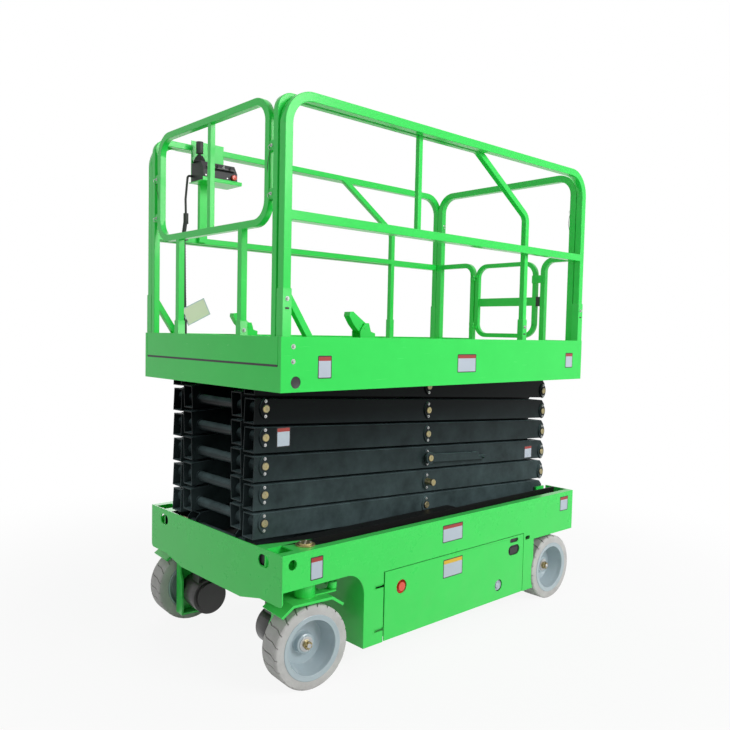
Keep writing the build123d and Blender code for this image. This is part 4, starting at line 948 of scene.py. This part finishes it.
case_low, case_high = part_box("control_box")
case_back_y = case_low.y
mesh = bmesh.new()
turned(mesh, BOOT_FOLDS, (0.925, case_back_y + 0.050, case_low.z + 0.102), (0, 0, 1), 28)
turned(mesh, KNOB, (0.850, case_back_y + 0.050, case_low.z + 0.116), (0, 0, 1), 20)
turned(mesh, STOP_BUTTON, (case_low.x + 0.038, case_back_y + 0.126, case_low.z + 0.034), (0, 1, 0), 28, 1)
turned(mesh, GLAND, (case_low.x, case_back_y + 0.060, case_low.z + 0.040), (1, 0, 0), 24)
slope = Vector((0, PANEL_RUN, -PANEL_FALL)).normalized()
across = Vector((1, 0, 0))
face_out = Vector((0, PANEL_FALL, PANEL_RUN)).normalized()
centre = Vector((0.835, case_back_y + 0.111, case_low.z + 0.079))
slab(mesh, centre + face_out * 0.0006, (across, slope, face_out), (0.085, 0.022, 0.0008), 2)
for step in range(SWITCH_COUNT):
    at = centre + across * (SWITCH_STEP * (step - (SWITCH_COUNT - 1) / 2)) + face_out * 0.001
    turned(mesh, SWITCH, at, face_out, 14, 3 if step % 2 else 0)
for x in (0.800, 0.932):
    bolt(mesh, (x, case_back_y + 0.126, case_low.z + 0.026), (0, 1, 0), 0.007, material=3, washer=False)
finishes = [black_plastic, red_plastic, black_enamel, bright_zinc]
make_piece("box_controls", mesh, "extension", finishes)
print("control box from", [round(v, 3) for v in case_low], "to", [round(v, 3) for v in case_high])

# %% [markdown]
# Below the box its cable runs into a spiral-wrapped hose. A fine helix round the hose's centre line makes the
# wrap, and a card for the daily checks is clipped on beside it. The card stays blank.

# %% Wrap the hose and clip on the card
# height and x of the hose's centre line
HOSE_LINE = [(2.140, 0.9905), (2.090, 0.9950), (1.950, 0.9925), (1.800, 0.9895), (1.600, 0.9835),
             (1.480, 0.983)]
HOSE_Y = -0.505
WRAP_TOP, WRAP_PITCH, WRAP_RADIUS = 2.135, 0.0148, 0.0114
WRAP_TURNS, WRAP_STEPS = 43, 8
CARD_TILT = math.radians(26)
CLIP_HEIGHTS = (1.668, 1.640)


def hose_centre(z):
    """The x of the hose at a height, between the two nearest points of its line."""
    for (z1, x1), (z2, x2) in zip(HOSE_LINE, HOSE_LINE[1:]):
        if z >= z2:
            return x1 + (x2 - x1) * (z1 - z) / (z1 - z2)
    return HOSE_LINE[-1][1]


turns = []
for step in range(WRAP_TURNS * WRAP_STEPS):
    z = WRAP_TOP - WRAP_PITCH * step / WRAP_STEPS
    angle = 2 * math.pi * step / WRAP_STEPS
    turns.append((hose_centre(z) + WRAP_RADIUS * math.cos(angle), HOSE_Y + WRAP_RADIUS * math.sin(angle), z))
wire("hose_wrap", turns, 0.0012, "extension", black_plastic)

mesh = bmesh.new()
along = Vector((math.cos(CARD_TILT), 0, -math.sin(CARD_TILT)))
up = Vector((math.sin(CARD_TILT), 0, math.cos(CARD_TILT)))
card = Vector((0.925, -0.488, 1.690))
slab(mesh, card, (along, up, Vector((0, 1, 0))), (0.076, 0.049, 0.0012), 2)
slab(mesh, card + Vector((0, 0.0014, 0)), (along, up, Vector((0, 1, 0))), (0.070, 0.044, 0.0005), 0)
for z in CLIP_HEIGHTS:
    box(mesh, (0.962, -0.5195, z - 0.006), (0.999, -0.4865, z + 0.006), 1)
make_piece("check_card", mesh, "extension", [ivory_card, black_plastic, white_vinyl])
print("wrap of", len(turns), "points; card at", [round(v, 3) for v in card])

# %% [markdown]
# Now the stage. The floor is a large pale sheet. Its white look comes from a Light Path mix: what the camera,
# a mirror or glass sees of it is white, while for all other light it is an ordinary pale floor, so it lights
# the machine no more than a real floor would. Near the wheels a share of the real floor is left in the mix,
# which keeps the soft shadow; farther out it fades to pure white.

# %% Lay the floor
FLOOR_HALF = 60.0
FADE_FROM, FADE_TO, NEAR_WHITE = 1.5, 4.0, 0.90     # metres from the middle, share of white near it


def seen_by_eyes(tree):
    """1 for what the camera sees, directly, in a mirror or through glass; 0 for all other light."""
    path = tree.nodes.new("ShaderNodeLightPath")
    direct = math_node(tree, "MAXIMUM", path.outputs["Is Camera Ray"], path.outputs["Is Glossy Ray"])
    return math_node(tree, "MAXIMUM", direct, path.outputs["Is Transmission Ray"])


def white_for_eyes(material, shade):
    """Camera and mirror rays see white times the shadow; other rays see a plain pale diffuse floor."""
    material.use_nodes = True
    tree = material.node_tree
    tree.nodes.clear()
    out = tree.nodes.new("ShaderNodeOutputMaterial")
    diffuse = add_node(tree, "ShaderNodeBsdfDiffuse")
    diffuse.inputs["Color"].default_value = (shade, shade, shade, 1)
    white = add_node(tree, "ShaderNodeEmission")
    white.inputs["Color"].default_value = (1, 1, 1, 1)
    seen = seen_by_eyes(tree)
    spot = tree.nodes.new("ShaderNodeNewGeometry").outputs["Position"]
    far = add_node(tree, "ShaderNodeVectorMath", [(0, spot)], operation="LENGTH")
    fade = tree.nodes.new("ShaderNodeMapRange")
    fade.interpolation_type = "SMOOTHSTEP"
    for label, value in (("From Min", FADE_FROM), ("From Max", FADE_TO), ("To Min", NEAR_WHITE),
                         ("To Max", 1.0)):
        fade.inputs[label].default_value = value
    tree.links.new(far.outputs["Value"], fade.inputs["Value"])
    share = math_node(tree, "MULTIPLY", seen, fade.outputs["Result"])
    mix = add_node(tree, "ShaderNodeMixShader", [(0, share), (1, diffuse.outputs[0]), (2, white.outputs[0])])
    tree.links.new(mix.outputs[0], out.inputs["Surface"])


mesh = bmesh.new()
bmesh.ops.create_grid(mesh, x_segments=2, y_segments=2, size=FLOOR_HALF)
floor_data = bpy.data.meshes.new("floor")
mesh.to_mesh(floor_data)
mesh.free()
floor = bpy.data.objects.new("floor", floor_data)
bpy.context.scene.collection.objects.link(floor)
floor_paint = bpy.data.materials.new("pale_floor")
white_for_eyes(floor_paint, 0.80)
floor_data.materials.append(floor_paint)
print("floor of", round(2 * FLOOR_HALF), "m a side")

# %% [markdown]
# Light. A bright, even sky gives most of it. One large soft lamp stands on the machine's left and above, so
# that the left side is clearly lighter than the front, and two weak ones open the shadows in front and
# behind. Large lamps far away give soft edges.

# %% Hang the lights
AMBIENT = 0.32
MACHINE_MIDDLE = (0.0, 0.0, 1.2)

world = bpy.data.worlds.new("studio")
bpy.context.scene.world = world
world.use_nodes = True
tree = world.node_tree
tree.nodes.clear()
sky_out = tree.nodes.new("ShaderNodeOutputWorld")
ambient = add_node(tree, "ShaderNodeBackground")
ambient.inputs["Color"].default_value = (1.0, 1.0, 1.0, 1)
ambient.inputs["Strength"].default_value = AMBIENT
seen_white = add_node(tree, "ShaderNodeBackground")
seen_white.inputs["Color"].default_value = (1, 1, 1, 1)
seen_white.inputs["Strength"].default_value = 1.0
seen = seen_by_eyes(tree)
mix = add_node(tree, "ShaderNodeMixShader", [(0, seen), (1, ambient.outputs[0]), (2, seen_white.outputs[0])])
tree.links.new(mix.outputs[0], sky_out.inputs["Surface"])


def soft_lamp(name, place, aim, size, power):
    """A round area lamp that looks from its place towards the aim."""
    lamp = bpy.data.lights.new(name, "AREA")
    lamp.shape = "DISK"
    lamp.size = size
    lamp.energy = power
    holder = bpy.data.objects.new(name, lamp)
    holder.location = place
    holder.rotation_euler = (Vector(aim) - Vector(place)).to_track_quat("-Z", "Y").to_euler()
    bpy.context.scene.collection.objects.link(holder)


soft_lamp("key_left", (-1.5, 7.0, 4.5), MACHINE_MIDDLE, 4.5, 390)
soft_lamp("fill_front", (6.5, 1.5, 3.5), MACHINE_MIDDLE, 4.0, 38)
soft_lamp("fill_right", (-2.0, -6.0, 4.0), MACHINE_MIDDLE, 4.0, 90)

# %% [markdown]
# The camera stands ahead and to the left at a person's eye height, about four metres off. Its place, aim and
# lens follow from the machine's own sizes seen in perspective. View transform Standard shows colours as they
# are written.

# %% Set up the camera
CAMERA_PLACE = (2.993587, 3.089247, 1.59407)
YAW, PITCH, ROLL = -2.295, -0.055, 0.02
LENS, SENSOR, SHIFT_X, SHIFT_Y = 36.58, 36.0, 0.0266, 0.0113
forward = Vector((math.cos(YAW) * math.cos(PITCH), math.sin(YAW) * math.cos(PITCH), math.sin(PITCH)))
right = Vector((math.sin(YAW), -math.cos(YAW), 0))
above = right.cross(forward)
level_right = right * math.cos(ROLL) + above * math.sin(ROLL)
level_up = above * math.cos(ROLL) - right * math.sin(ROLL)
camera_data = bpy.data.cameras.new("camera")
camera = bpy.data.objects.new("camera", camera_data)
turn = Matrix((level_right, level_up, -forward)).transposed().to_4x4()
camera.matrix_world = Matrix.Translation(CAMERA_PLACE) @ turn
camera_data.sensor_width = SENSOR
camera_data.lens = LENS
camera_data.shift_x = SHIFT_X
camera_data.shift_y = SHIFT_Y
camera_data.clip_end = 200.0
bpy.context.scene.collection.objects.link(camera)
bpy.context.scene.camera = camera
bpy.context.scene.view_settings.view_transform = "Standard"
print("camera at", [round(v, 3) for v in camera.matrix_world.translation])
